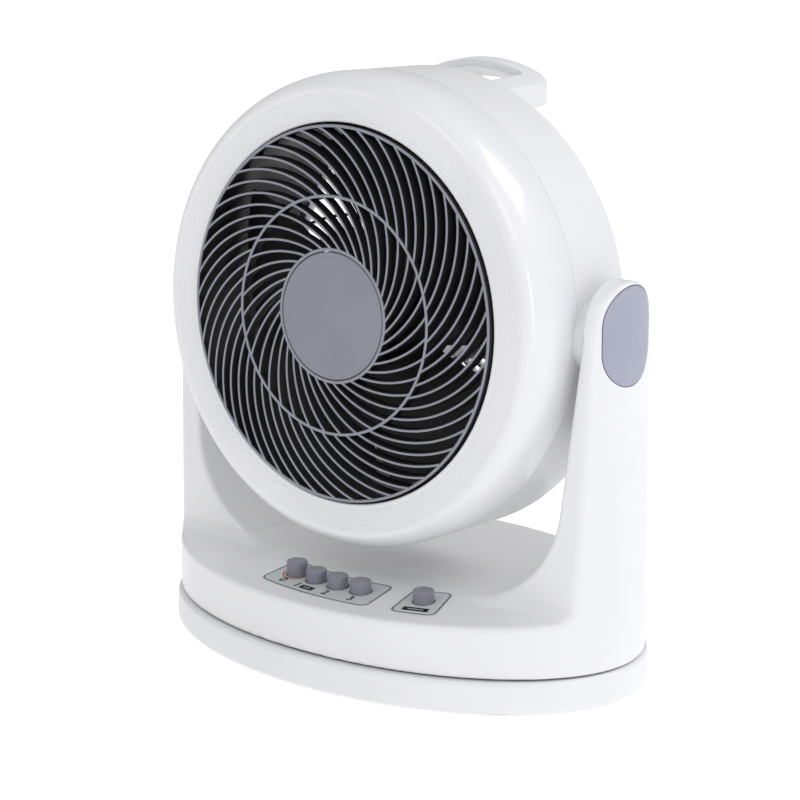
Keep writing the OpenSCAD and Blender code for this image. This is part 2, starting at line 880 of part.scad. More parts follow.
module rib_ring(n, start, r0, r1, sweep, arc_r, depth, t) {
    for (i = [0:n - 1]) rotate([0, 0, start + 360 * i / n]) rib(r0, r1, sweep, arc_r, depth, t);
}

module front_grille() {
    color("gray") in_head() union() {
        intersection() {
            translate([0, 0, grille_back_z]) union() {
                rib_ring(inner_ribs, inner_start, hub_ring_r + 1, mid_ring_r, inner_sweep,
                    inner_rib_r, dome_z - grille_back_z + 1, rib_t);
                rib_ring(outer_ribs, outer_start, mid_ring_r, grille_rim_r - 1, outer_sweep,
                    outer_rib_r, dome_z - grille_back_z + 1, rib_t);
            }
            rotate_extrude($fn = 128) polygon([
                [hub_ring_r, dome_z - rib_depth], [mid_ring_r, dome_z - rib_depth],
                [grille_rim_r - 0.5, grille_back_z], [grille_rim_r - 0.5, rim_front_z - 0.4],
                [mid_ring_r, dome_z - 0.4], [hub_ring_r, dome_z - 0.4]]);
        }
        translate([0, 0, dome_z - rib_depth]) {
            cylinder(r = hub_ring_r + hub_ring_t, h = 2);
            tube(hub_ring_r + hub_ring_t, hub_ring_r, rib_depth - 0.2);
            tube(mid_ring_r + mid_ring_t / 2, mid_ring_r - mid_ring_t / 2, rib_depth);
        }
        translate([0, 0, duct_front_z])
            tube(grille_rim_r, grille_rim_r - grille_rim_t, rim_front_z - duct_front_z);
    }
}

module centre_cap() {
    color("slategray") in_head() translate([0, 0, dome_z - rib_depth + 2.2]) {
        cylinder(r = cap_r, h = rib_depth - 3);
        translate([0, 0, rib_depth - 3]) cylinder(r1 = cap_r, r2 = cap_r - 1, h = 1);
        translate([0, 0, rib_depth - 2]) cylinder(r1 = cap_r - 1, r2 = cap_r - 14, h = 0.4);
    }
}

module rear_grille() {
    color("white") in_head() difference() {
        union() {
            intersection() {
                translate([0, 0, rear_hub_z]) rib_ring(rear_ribs, 0, rear_hub_r - 1,
                    rear_grille_r - 1, rear_rib_sweep, rear_rib_arc_r,
                    back_z - rear_hub_z + 30, rear_rib_t);
                rotate_extrude($fn = 128) polygon([
                    [rear_hub_r - 2, rear_hub_z], [rear_grille_r - 0.5, back_z + 0.5],
                    [rear_grille_r - 0.5, back_z + rear_grille_t],
                    [rear_hub_r - 2, rear_hub_z + rear_grille_t]]);
            }
            translate([0, 0, back_z]) tube(rear_grille_r, rear_grille_r - 4, rear_grille_t + 2);
            intersection() {
                translate([0, 0, rear_hub_z - 10]) tube(rear_ring_r + 1.2, rear_ring_r - 1.2, 60);
                rotate_extrude($fn = 128) polygon([
                    [rear_hub_r, rear_hub_z], [rear_grille_r, back_z],
                    [rear_grille_r, back_z + rear_grille_t],
                    [rear_hub_r, rear_hub_z + rear_grille_t]]);
            }
            translate([0, 0, rear_hub_z]) cylinder(r = rear_hub_r, h = 2.5);
            translate([0, 0, rear_hub_z]) tube(rear_hub_r, rear_hub_r - 3, 9);
            round_about(4, motor_screw_at, 45) translate([0, 0, rear_hub_z])
                cylinder(r = 5, h = motor_back_z - rear_hub_z);
        }
        round_about(4, motor_screw_at, 45) translate([0, 0, rear_hub_z - 1])
            cylinder(r = screw_r, h = 40);
        round_about(16, rear_hub_r * 0.5, 0) translate([0, 0, rear_hub_z - 1])
            cylinder(r = 2.2, h = 6);
    }
}

// ---------------------------------------------------------------- handle

module handle_outline(inset, back, front) {
    w = handle_w / 2 - inset;
    c = max(2, handle_corner - inset * 0.5);
    union() {
        for (s = [-1, 1]) translate([s * (w - c), back + c]) circle(r = c);
        translate([-w + c, back]) square([2 * (w - c), front - back]);
        translate([-w, back + c]) square([2 * w, front - back - c]);
    }
}

// The layer of the arched plate between two depths below its top
module handle_arch(from, to) {
    translate([0, drum_r, rim_z]) rotate([handle_rise, 0, 0])
        translate([0, -handle_arch_r, -handle_reach - 20])
            tube(handle_arch_r - from, handle_arch_r - to, handle_reach + 20);
}

module handle() {
    color("white") in_head() difference() {
        intersection() {
            handle_arch(0, handle_t);
            translate([0, 400, 0]) rotate([90, 0, 0]) linear_extrude(800)
                handle_outline(0, handle_z, rim_z);
            translate([-200, 0, -200]) cube([400, 400, 400]);
        }
        translate([0, 400, 0]) rotate([90, 0, 0]) linear_extrude(800)
            handle_outline(handle_bar, handle_z + hole_back, rim_z - hole_front);
        intersection() {
            handle_arch(handle_lip, handle_t + 5);
            translate([0, 400, 0]) rotate([90, 0, 0]) linear_extrude(800)
                handle_outline(handle_bar, handle_z + hole_back / 2, rim_z - hole_front);
        }
        rear_solid();
        handle_screw_places() translate([0, 0, -30]) cylinder(r = screw_r, h = 60);
    }
}

module handle_screw_places() {
    for (s = [-1, 1]) translate([s * (handle_w / 2 - handle_bar / 2), drum_r - 14, rim_z - 12])
        children();
}

module handle_screws() {
    color("silver") in_head() handle_screw_places()
        translate([0, 0, screw_head_h]) rotate([180, 0, 0]) translate([0, 0, -14]) screw(10);
}

// ---------------------------------------------------------------- tilt pivots

module trunnion(side) {
    color("dimgray") difference() {
        on_pivot(side) difference() {
            union() {
                translate([0, 0, drum_r - 12]) cylinder(r = boss_r, h = trunnion_face - drum_r + 12);
                translate([0, 0, drum_r - 12]) cylinder(r = pin_r, h = pin_end - drum_r + 12);
            }
            cylinder(r = pivot_screw_r, h = 400);
        }
        in_head() rear_solid();
        in_head() translate([0, 0, seam_z - 1]) cylinder(r = drum_r, h = 20, $fn = 128);
    }
}

module trunnion_left() {
    trunnion(-1);
}

module trunnion_right() {
    trunnion(1);
}

module friction_washers() {
    color("ivory") for (side = [-1, 1]) on_pivot(side)
        translate([0, 0, trunnion_face]) tube(boss_r - 2, pin_r + 0.3, arm_in - trunnion_face - 0.1);
}

module pivot_washers() {
    color("silver") for (side = [-1, 1]) on_pivot(side)
        translate([0, 0, pin_end]) tube(pin_r + 4, pivot_screw_r, pivot_washer_t);
}

module pivot_screws() {
    color("silver") for (side = [-1, 1]) on_pivot(side) {
        translate([0, 0, drum_r]) cylinder(r = pivot_screw_r, h = pin_end + pivot_washer_t - drum_r);
        translate([0, 0, pin_end + pivot_washer_t]) cylinder(r = 6, h = 3);
    }
}

// ---------------------------------------------------------------- motor

module motor_case_front() {
    color("silver") in_head() difference() {
        union() {
            translate([0, 0, (motor_front_z + motor_back_z) / 2 + 0.1])
                cylinder(r = motor_r, h = (motor_front_z - motor_back_z) / 2 - 0.1);
            translate([0, 0, motor_front_z]) cylinder(r = bearing_r + 2.5, h = boss_depth);
        }
        translate([0, 0, motor_back_z]) cylinder(r = motor_r - motor_wall, h = motor_len - motor_wall);
        translate([0, 0, motor_front_z - motor_wall - 1]) cylinder(r = bearing_r, h = bearing_h);
        translate([0, 0, motor_back_z]) cylinder(r = shaft_r + 1, h = motor_len + 40);
    }
}

module motor_case_rear() {
    color("silver") in_head() difference() {
        union() {
            translate([0, 0, motor_back_z]) cylinder(r = motor_r, h = motor_len / 2 - 0.1);
            translate([0, 0, motor_back_z - boss_depth]) cylinder(r = bearing_r + 2.5, h = boss_depth + 1);
        }
        translate([0, 0, motor_back_z + motor_wall]) cylinder(r = motor_r - motor_wall, h = motor_len);
        translate([0, 0, motor_back_z - boss_depth + 1])
            cylinder(r = bearing_r, h = bearing_h + 10);
        translate([0, 0, motor_back_z - 40]) cylinder(r = shaft_r + 1, h = 80);
        round_about(4, motor_screw_at, 45) translate([0, 0, motor_back_z - 1])
            cylinder(r = screw_r, h = motor_wall + 2);
    }
}

module stator() {
    color("peru") in_head() difference() {
        union() {
            translate([0, 0, rotor_z]) cylinder(r = stator_r, h = rotor_len);
            for (z = [rotor_z - 5, rotor_z + rotor_len]) translate([0, 0, z])
                tube(stator_r - 4, rotor_r + 3, 5);
        }
        cylinder(r = rotor_r + 0.5, h = 300, center = true);
        round_about(4, motor_screw_at, 45) translate([0, 0, motor_back_z]) cylinder(r = 4, h = 14);
    }
}

module motor_bearings() {
    color("silver") in_head() {
        translate([0, 0, motor_front_z - motor_wall]) tube(bearing_r, shaft_r + run_fit, bearing_h - 1);
        translate([0, 0, motor_back_z - boss_depth + 1]) tube(bearing_r, shaft_r + run_fit, bearing_h - 1);
    }
}

module motor_screws() {
    color("silver") in_head() round_about(4, motor_screw_at, 45)
        translate([0, 0, rear_hub_z - screw_head_h]) screw(motor_back_z - rear_hub_z + motor_wall + 2);
}

module motor_shaft() {
    color("silver") in_head() translate([0, 0, motor_back_z - boss_depth + 1.5])
        cylinder(r = shaft_r, h = hub_front_z + 4 - motor_back_z + boss_depth);
}

module rotor_core() {
    color("silver") in_head() translate([0, 0, rotor_z]) tube(rotor_r, shaft_r, rotor_len);
}

// A blade is a curved sheet on a grid: i counts from the hub to the tip and j from
// the rear edge to the front edge; it is thickest in the middle

function blade_r(i) = hub_r - 1.5 + (blade_tip_r - hub_r + 1.5) * i / blade_rows;
function blade_a(i, j) =
    blade_span * (j / blade_cols - 0.5) + blade_skew * i / blade_rows * (1 - 0.35 * j / blade_cols);
function blade_z(i, j) =
    let (rise = blade_rise_hub + (blade_rise_tip - blade_rise_hub) * i / blade_rows,
         s = j / blade_cols)
    blade_mid_z + rise * (0.5 - s) - blade_camber * sin(180 * s);
function blade_half(i, j) =
    blade_t / 2 * (0.35 + 0.65 * sin(180 * j / blade_cols)) * (1 - 0.3 * i / blade_rows);
function blade_point(i, j, s) =
    [blade_r(i) * cos(blade_a(i, j)), blade_r(i) * sin(blade_a(i, j)),
     blade_z(i, j) + s * blade_half(i, j)];

module blade() {
    w = blade_cols + 1;
    n = (blade_rows + 1) * w;
    top = [for (i = [0:blade_rows], j = [0:blade_cols]) blade_point(i, j, 1)];
    under = [for (i = [0:blade_rows], j = [0:blade_cols]) blade_point(i, j, -1)];
    quads = [for (i = [0:blade_rows - 1], j = [0:blade_cols - 1])
        [i * w + j, i * w + j + 1, (i + 1) * w + j + 1, (i + 1) * w + j]];
    up = [for (q = quads) each [[q[0], q[1], q[2]], [q[0], q[2], q[3]]]];
    down = [for (q = quads) each [[n + q[2], n + q[1], n + q[0]], [n + q[3], n + q[2], n + q[0]]]];
    edge = concat([for (j = [0:blade_cols - 1]) [j, j + 1]],
        [for (i = [0:blade_rows - 1]) [i * w + blade_cols, (i + 1) * w + blade_cols]],
        [for (j = [blade_cols:-1:1]) [blade_rows * w + j, blade_rows * w + j - 1]],
        [for (i = [blade_rows:-1:1]) [i * w, (i - 1) * w]]);
    side = [for (e = edge) each [[e[1], e[0], n + e[1]], [n + e[1], e[0], n + e[0]]]];
    polyhedron(points = concat(top, under), faces = concat(up, down, side));
}

module fan() {
    color("dimgray") in_head() union() {
        difference() {
            translate([0, 0, hub_front_z - hub_len]) cylinder(r = hub_r, h = hub_len);
            translate([0, 0, hub_front_z - hub_len - 1]) cylinder(r = hub_r - 2.5, h = hub_len - 2);
            translate([0, 0, hub_front_z - 10]) cylinder(r = shaft_r, h = 20);
        }
        difference() {
            translate([0, 0, hub_front_z - hub_len + 4]) cylinder(r = shaft_r + 4, h = hub_len - 5);
            translate([0, 0, hub_front_z - hub_len]) cylinder(r = shaft_r, h = hub_len + 20);
        }
        for (k = [0:blades - 1]) rotate([0, 0, blade_turn + 360 * k / blades]) blade();
    }
}

module spinner_nut() {
    color("dimgray") in_head() translate([0, 0, hub_front_z]) difference() {
        union() {
            cylinder(r = 11, h = 3);
            cylinder(r = 8, h = 9, $fn = 6);
        }
        translate([0, 0, -1]) cylinder(r = shaft_r, h = 7);
    }
}

lower_base();
bottom_plate();
rubber_feet();
bottom_screws();
slide_ring();
thrust_washer();
swing_lever();
cord_gland();
yoke_housing();
swivel_plate();
swing_spindle();
spindle_clip();
swing_motor();
swing_crank();
speed_switch();
swing_switch();
capacitor();
terminal_block();
speed_panel();
swing_panel();
arm_cover_left();
arm_cover_right();
pivot_cap_left();
pivot_cap_right();
plate_screws();
button_off();
button_1();
button_2();
button_3();
button_swing();
front_shell();
rear_shell();
air_duct();
front_grille();
centre_cap();
rear_grille();
handle();
handle_screws();
shell_screws();
trunnion_left();
trunnion_right();
friction_washers();
pivot_washers();
pivot_screws();
motor_case_front();
motor_case_rear();
stator();
motor_bearings();
motor_screws();
motor_shaft();
rotor_core();
fan();
spinner_nut();
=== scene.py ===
# %% [markdown]
# # A round air circulator fan
# The fan is a drum-shaped head that nods between two arms. The arms grow out of an
# oval deck that swings on an oval foot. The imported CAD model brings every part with
# its joint; here each part that shows gets its moulded shape and its finish.
# The CAD stays the frame: new skins ride on the CAD bodies and never change a size.

# %% Load the frame
import math
import bmesh
import bpy
import numpy as np
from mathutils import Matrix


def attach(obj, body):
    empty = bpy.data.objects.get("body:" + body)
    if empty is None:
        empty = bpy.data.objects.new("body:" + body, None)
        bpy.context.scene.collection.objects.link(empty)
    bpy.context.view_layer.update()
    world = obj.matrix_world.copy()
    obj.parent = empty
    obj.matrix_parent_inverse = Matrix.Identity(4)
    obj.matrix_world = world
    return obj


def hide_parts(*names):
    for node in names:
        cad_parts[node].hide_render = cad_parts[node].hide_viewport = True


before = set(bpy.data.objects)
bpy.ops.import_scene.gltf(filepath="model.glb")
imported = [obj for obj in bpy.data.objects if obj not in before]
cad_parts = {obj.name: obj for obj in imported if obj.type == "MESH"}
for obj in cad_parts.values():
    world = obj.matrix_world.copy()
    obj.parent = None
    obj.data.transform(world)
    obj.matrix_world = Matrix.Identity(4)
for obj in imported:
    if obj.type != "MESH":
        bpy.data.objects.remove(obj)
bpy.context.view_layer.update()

# %% [markdown]
# ## Sizes
# All lengths below are in millimetres, as on a drawing, and are turned into metres
# once, when a mesh is made. The head has its own frame: r is the distance from the
# air axis and d runs forwards along it, from the tilt axis. One function carries
# points from the head's frame to the part's frame.

# %% Sizes and the head's frame
MM = 0.001
PIVOT_Y, PIVOT_Z, HEAD_TILT = -6.4, 234.57, math.radians(2.6)
ARM_Y = -3.2  # the middle of both arms
DRUM_R, RING_R, OPENING_R = 153.4, 142.3, 122.0
FRONT_D, SHOULDER_D, SEAM_D, RIM_D = 61.6, 35.1, 18.0, -36.0
SEAT_D = 49.6  # where the rim of the grille sits in the front housing
DECK_Z, SEAM_Z, PANEL_Y, PANEL_SLOPE = 60.0, 24.1, -33.0, math.radians(3.5)
UPPER_A, UPPER_B, LOWER_A, LOWER_B = 179.0, 109.0, 180.6, 114.7  # half axes of the deck and of the foot
AXIS_R = 0.01  # a lathe profile starts this close to its axis, a hair that no eye can see


def from_head(x, u, d):
    """x stays; y = PIVOT_Y + u sin(tilt) - d cos(tilt); z = PIVOT_Z + u cos(tilt) + d sin(tilt)."""
    c, s = math.cos(HEAD_TILT), math.sin(HEAD_TILT)
    return np.stack([x + 0 * u, PIVOT_Y + u * s - d * c, PIVOT_Z + u * c + d * s], -1)


def panel_height(y):
    """The deck is level behind PANEL_Y; in front of it z falls by (PANEL_Y - y) tan(slope)."""
    return DECK_Z - np.maximum(PANEL_Y - y, 0) * math.tan(PANEL_SLOPE)


print(f"drum {2 * DRUM_R} mm, opening {2 * OPENING_R} mm, deck {2 * UPPER_A} x {2 * UPPER_B} mm")

# %% [markdown]
# ## From arrays to meshes
# Every new surface is a grid of points computed at once with numpy. A grid of rows
# and columns needs one rule for its faces: each cell joins a point to its right
# neighbour, the one above that, and the one above itself. Where the grid closes on
# itself the last row meets the first. The points go into the mesh in one call.

# %% Mesh helpers
def grid_quads(rows, cols, round_rows=False, round_cols=False, first=0):
    """Cell (i, j) is the face (i, j), (i+1, j), (i+1, j+1), (i, j+1), with i and j wrapping round."""
    i = np.arange(rows if round_rows else rows - 1)[:, None]
    j = np.arange(cols if round_cols else cols - 1)[None, :]
    a, b = (i + 1) % rows, (j + 1) % cols
    return first + np.stack([i * cols + j, a * cols + j, a * cols + b, i * cols + b], -1).reshape(-1, 4)


def new_piece(name, points, quads, body, slot, replaces=(), smooth_angle=35, marks=None):
    """Points in mm and faces of four corners become a closed, smooth piece that rides on a body. The marks
    give each face the number of its material."""
    mesh = bpy.data.meshes.new(name)
    flat = (np.asarray(points, float).reshape(-1, 3) * MM).astype(np.float32)
    mesh.vertices.add(len(flat))
    mesh.vertices.foreach_set("co", flat.ravel())
    quads = np.asarray(quads, np.int32)
    mesh.loops.add(quads.size)
    mesh.loops.foreach_set("vertex_index", quads.ravel())
    mesh.polygons.add(len(quads))
    mesh.polygons.foreach_set("loop_start", np.arange(0, quads.size, 4, dtype=np.int32))
    mesh.polygons.foreach_set("use_smooth", np.ones(len(quads), bool))
    if marks is not None:
        mesh.polygons.foreach_set("material_index", np.asarray(marks, np.int32))
    mesh.update(calc_edges=True)
    mesh.validate()
    mesh.set_sharp_from_angle(angle=math.radians(smooth_angle))
    piece = bpy.data.objects.new(name, mesh)
    bpy.context.scene.collection.objects.link(piece)
    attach(piece, body)
    if replaces:
        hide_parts(*replaces)
    size = (flat.max(0) - flat.min(0)) / MM
    print(f"{name}: {len(flat)} points, {size[0]:.1f} x {size[1]:.1f} x {size[2]:.1f} mm")
    return piece


def outward(points, quads):
    """Six times the signed volume of the closed mesh is the sum of a . (b x c) + a . (c x d) over its
    faces abcd; if it is negative, all faces turn over."""
    p = np.asarray(points, float).reshape(-1, 3)
    a, b, c, d = (p[quads[:, k]] for k in range(4))
    volume = np.sum(a * np.cross(b, c)) + np.sum(a * np.cross(c, d))
    return quads if volume > 0 else quads[:, ::-1]


def band_ends(rows, cols):
    """The end faces of a band of closed rows with an even number of columns: k and k + 1 join cols - 2 - k
    and cols - 1 - k. The far end is turned over, so that both agree with the sides."""
    k = np.arange(cols // 2 - 1)
    end = np.stack([k, k + 1, cols - 2 - k, cols - 1 - k], -1)
    return np.concatenate([end, end[:, ::-1] + (rows - 1) * cols])


def arc_points(cx, cy, rx, ry, start, end, n):
    """(cx + rx cos t, cy + ry sin t) for t from start to end, in degrees."""
    t = np.radians(np.linspace(start, end, n))
    return np.stack([cx + rx * np.cos(t), cy + ry * np.sin(t)], -1)


def lathe_points(profile, segments):
    """A profile of (r, d) turned about the air axis: x = r cos a, u = r sin a, d stays."""
    a = np.linspace(0, 2 * np.pi, segments, endpoint=False)[:, None]
    r, d = profile[None, :, 0], profile[None, :, 1]
    return from_head(r * np.cos(a), r * np.sin(a), d + 0 * a)


def lathe_piece(name, profile, body, slot, replaces=(), segments=256, closed=True, **more):
    """A closed profile, or an open one whose two ends lie on the axis, turned into a piece."""
    points = lathe_points(profile, segments)
    quads = grid_quads(segments, len(profile), True, closed)
    return new_piece(name, points, outward(points, quads), body, slot, replaces, **more)


# %% [markdown]
# ## Camera
# The camera looks down a little at the fan from its left front, as one would in a
# shop. A long lens keeps the lines calm. It comes first, so that every later step
# can be judged from the same place.

# %% Camera
camera_data = bpy.data.cameras.new("camera")
camera_data.lens, camera_data.sensor_width = 112.5, 36
camera = bpy.data.objects.new("camera", camera_data)
camera.location = (0.99737, -1.25647, 0.57270)
camera.rotation_euler = [math.radians(a) for a in (75.852, 0, 38.564)]
bpy.context.scene.collection.objects.link(camera)
bpy.context.scene.camera = camera
print(f"camera: {camera_data.lens} mm lens, {camera.location.length:.2f} m away")

# %% [markdown]
# ## Finishes
# Moulded plastic is never one flat colour. It has a fine skin from the spark-eroded
# mould, slow changes of gloss where the melt cooled, and dust and rubbing that dull
# it in places. One recipe makes all the plastics: object coordinates feed a slow
# noise for colour and gloss and a fine one for the grain of the bump.

# %% The recipe for a finish
def set_sockets(node, **values):
    """Sets inputs of a node; a name's underscores stand for spaces."""
    for name, value in values.items():
        node.inputs[name.replace("_", " ")].default_value = value


def add_noise(material, place, scale, detail):
    """A noise texture in object coordinates; returns its value, from 0 to 1."""
    noise = material.node_tree.nodes.new("ShaderNodeTexNoise")
    set_sockets(noise, Scale=scale, Detail=detail)
    material.node_tree.links.new(place.outputs["Object"], noise.inputs["Vector"])
    return noise.outputs["Fac"]


def finish(name, dark, light, rough, grain, grain_size, metal=0.0, coat=0.0):
    """Colour goes from dark to light by a slow noise, roughness from rough[0] to rough[1] by a second one,
    and the bump is grain times a fine noise."""
    material = bpy.data.materials.new(name)
    material.use_nodes = True
    nodes, links = material.node_tree.nodes, material.node_tree.links
    shader = nodes["Principled BSDF"]
    place = nodes.new("ShaderNodeTexCoord")
    ramp = nodes.new("ShaderNodeValToRGB")
    for stop, position, colour in zip(ramp.color_ramp.elements, (0.32, 0.68), (dark, light)):
        stop.position, stop.color = position, (*colour, 1)
    links.new(add_noise(material, place, 14, 4), ramp.inputs["Fac"])
    links.new(ramp.outputs["Color"], shader.inputs["Base Color"])
    gloss = nodes.new("ShaderNodeMapRange")
    set_sockets(gloss, From_Min=0.3, From_Max=0.7, To_Min=rough[0], To_Max=rough[1])
    links.new(add_noise(material, place, 45, 6), gloss.inputs["Value"])
    links.new(gloss.outputs["Result"], shader.inputs["Roughness"])
    bump = nodes.new("ShaderNodeBump")
    set_sockets(bump, Strength=grain, Distance=0.1 * MM)
    links.new(add_noise(material, place, grain_size, 3), bump.inputs["Height"])
    links.new(bump.outputs["Normal"], shader.inputs["Normal"])
    set_sockets(shader, Metallic=metal, Coat_Weight=coat, Coat_Roughness=0.08)
    return material


# %% [markdown]
# ## The fan's own finishes
# Each plastic gets its two near colours, its range of gloss and its grain. The white
# shells shine most, with a thin clear coat. The greys are satin, the black parts
# swallow light, and metal appears only inside, on the motor, the plates and screws.

# %% Plastics, metals and rubber
white_shell = finish("white_gloss_plastic", (0.795, 0.797, 0.805), (0.812, 0.813, 0.822),
                     (0.30, 0.38), 0.04, 900, coat=0.5)
white_foot = finish("white_foot_plastic", (0.79, 0.792, 0.80), (0.808, 0.810, 0.818), (0.31, 0.39), 0.05, 900,
                    coat=0.3)
white_grille = finish("white_grille_plastic", (0.76, 0.76, 0.78), (0.80, 0.80, 0.82), (0.30, 0.40), 0.06, 800)
inner_plastic = finish("inner_plastic", (0.60, 0.60, 0.60), (0.68, 0.68, 0.67), (0.45, 0.60), 0.15, 500)
rib_grey = finish("rib_front_grey", (0.25, 0.25, 0.295), (0.285, 0.285, 0.33), (0.30, 0.40), 0.10, 1200)
rib_black = finish("rib_side_black", (0.012, 0.012, 0.013), (0.020, 0.020, 0.022), (0.40, 0.60), 0.12, 900)
cap_grey = finish("cap_satin_grey", (0.225, 0.235, 0.268), (0.250, 0.260, 0.295), (0.36, 0.46), 0.22, 1500)
pivot_grey = finish("pivot_cap_grey", (0.345, 0.360, 0.435), (0.37, 0.385, 0.46), (0.34, 0.46), 0.22, 1500)
button_grey = finish("button_grey", (0.215, 0.22, 0.262), (0.25, 0.255, 0.297), (0.30, 0.42), 0.16, 1600)
black_plastic = finish("black_satin_plastic", (0.010, 0.010, 0.011), (0.018, 0.018, 0.020),
                       (0.38, 0.55), 0.14, 700)
panel_film = finish("panel_film", (0.535, 0.580, 0.570), (0.560, 0.605, 0.595), (0.36, 0.44), 0.06, 1800)
line_grey = finish("panel_line_grey", (0.13, 0.145, 0.155), (0.16, 0.175, 0.185), (0.38, 0.48), 0.05, 1800)
ink_black = finish("ink_black", (0.004, 0.004, 0.005), (0.007, 0.007, 0.008), (0.50, 0.65), 0.05, 1800)
set_sockets(ink_black.node_tree.nodes["Principled BSDF"], Specular_IOR_Level=0.15)
ink_white = finish("ink_white", (0.52, 0.53, 0.53), (0.60, 0.61, 0.61), (0.38, 0.50), 0.05, 1800)
ink_red = finish("ink_red", (0.50, 0.018, 0.022), (0.57, 0.028, 0.03), (0.35, 0.48), 0.05, 1800)
rubber = finish("foot_rubber", (0.020, 0.020, 0.020), (0.035, 0.035, 0.034), (0.70, 0.88), 0.35, 600)
zinc_steel = finish("zinc_steel", (0.52, 0.52, 0.54), (0.66, 0.66, 0.68), (0.30, 0.42), 0.12, 700, metal=1.0)
drawn_metal = finish("drawn_motor_case", (0.50, 0.50, 0.52), (0.62, 0.62, 0.64),
                     (0.30, 0.44), 0.10, 500, metal=1.0)
copper_winding = finish("varnished_winding", (0.42, 0.20, 0.09), (0.60, 0.30, 0.14), (0.30, 0.50), 0.40, 420,
                        metal=0.6)
nylon = finish("nylon_natural", (0.70, 0.67, 0.58), (0.78, 0.75, 0.67), (0.42, 0.55), 0.12, 600)
print("finishes:", len(bpy.data.materials))

# %% [markdown]
# ## CAD nodes that stay
# Parts whose CAD shape is already right only need a better finish. Their names say
# what they are, so one table gives each its material.

# %% Finishes for the CAD nodes
CAD_FINISH = {
    "bottom_plate": inner_plastic, "swivel_plate": inner_plastic, "rubber_feet": rubber, "cord_gland": rubber,
    "slide_ring": nylon, "thrust_washer": nylon, "friction_washers": nylon, "swing_crank": nylon,
    "terminal_block": nylon, "swing_motor": drawn_metal, "motor_case_front": drawn_metal,
    "motor_case_rear": drawn_metal, "stator": copper_winding, "rear_shell": white_shell,
    "rear_grille": white_grille, "air_duct": black_plastic, "speed_switch": black_plastic,
    "swing_switch": black_plastic, "capacitor": black_plastic, "trunnion_left": white_shell,
    "trunnion_right": white_shell, "spinner_nut": black_plastic, "speed_panel": panel_film,
    "swing_panel": panel_film,
}
for node_name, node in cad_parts.items():
    chosen = CAD_FINISH.get(node_name, zinc_steel)
    node.data.materials.clear()
    node.data.materials.append(chosen)
print("CAD nodes with a finish:", len(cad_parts))

# %% [markdown]
# ## Front housing
# The front of the drum is one moulding: a cylinder that rolls over a soft shoulder
# into a flat ring, which carries a band of fine turned grooves. It could be cut with
# booleans, but a lathe says it better: one closed profile, turned about the air
# axis. The grooves are a cosine added to the ring's front.

# %% Front housing
GROOVES, GROOVE_FROM, GROOVE_TO, GROOVE_DEPTH = 11, 124.6, 140.6, 0.36
WALL, LIP_R, SEAM_GAP = 2.5, 1.0, 0.1
INNER_FRONT_D = 58.9  # inside of the ring's front


def ring_front(r):
    """d = FRONT_D, less GROOVE_DEPTH (1 - cos(2 pi n s)) / 2 between the first and the last groove, s from
    0 to 1."""
    s = (r - GROOVE_FROM) / (GROOVE_TO - GROOVE_FROM)
    cut = GROOVE_DEPTH * (0.5 - 0.5 * np.cos(2 * np.pi * GROOVES * s))
    return FRONT_D - np.where((s > 0) & (s < 1), cut, 0)


ring_r = np.linspace(RING_R, OPENING_R + LIP_R, GROOVES * 8 + 24)
front_profile = np.concatenate([
    arc_points(DRUM_R - 0.25, SEAM_D + SEAM_GAP, 0.25, 0.25, -90, 0, 4),
    [[DRUM_R, SHOULDER_D]],
    arc_points(RING_R, SHOULDER_D, DRUM_R - RING_R, FRONT_D - SHOULDER_D, 0, 90, 28)[1:-1],
    np.stack([ring_r, ring_front(ring_r)], -1),
    arc_points(OPENING_R + LIP_R, FRONT_D - LIP_R, LIP_R, LIP_R, 90, 180, 6)[1:],
    [[OPENING_R, SEAT_D], [OPENING_R + WALL, SEAT_D]],
    [[OPENING_R + WALL, INNER_FRONT_D], [RING_R, INNER_FRONT_D]],
    arc_points(RING_R, SHOULDER_D, DRUM_R - RING_R - WALL, FRONT_D - SHOULDER_D - WALL, 90, 0, 16)[1:],
    [[DRUM_R - WALL, SEAM_D - 0.15]],
])
front_housing = lathe_piece("front_housing", front_profile, "head", "white_shell", ["front_shell"],
                            segments=288, smooth_angle=60)
front_housing.data.materials.append(white_shell)

# %% [markdown]
# ## Front grille
# The grille is a dome of curved ribs: a close inner set that runs from the hub ring
# to the middle ring, and a longer outer set from there to the rim. Each rib is one
# rounded section carried along an arc. All ribs of a set are one array with the
# rib's number as its first axis. The round front edges are grey and the sides
# are black, as on a grille that is printed after moulding, so the section's columns
# choose the material.

# %% Front grille ribs
HUB_RING_R, MID_RING_R, RIM_RING_R = 41.3, 76.0, 120.8
RIB_T, RIB_NOSE = 1.5, 0.55
DOME_FRONT_D, DOME_FALL, DOME_BACK_D, BACK_FALL = 68.8, 4.6, 61.5, 7.0


def dome_front(r):
    """Front of the grille: d = DOME_FRONT_D inside the middle ring, then less DOME_FALL s^1.5, s from 0
    there to 1 at the rim."""
    s = np.clip((r - MID_RING_R) / (RIM_RING_R - MID_RING_R), 0, 1)
    return DOME_FRONT_D - DOME_FALL * s**1.5


def dome_back(r):
    """Back of the grille: d = DOME_BACK_D inside the middle ring, then a straight line down by BACK_FALL
    at the rim."""
    s = np.clip((r - MID_RING_R) / (RIM_RING_R - MID_RING_R), 0, 1)
    return DOME_BACK_D - BACK_FALL * s


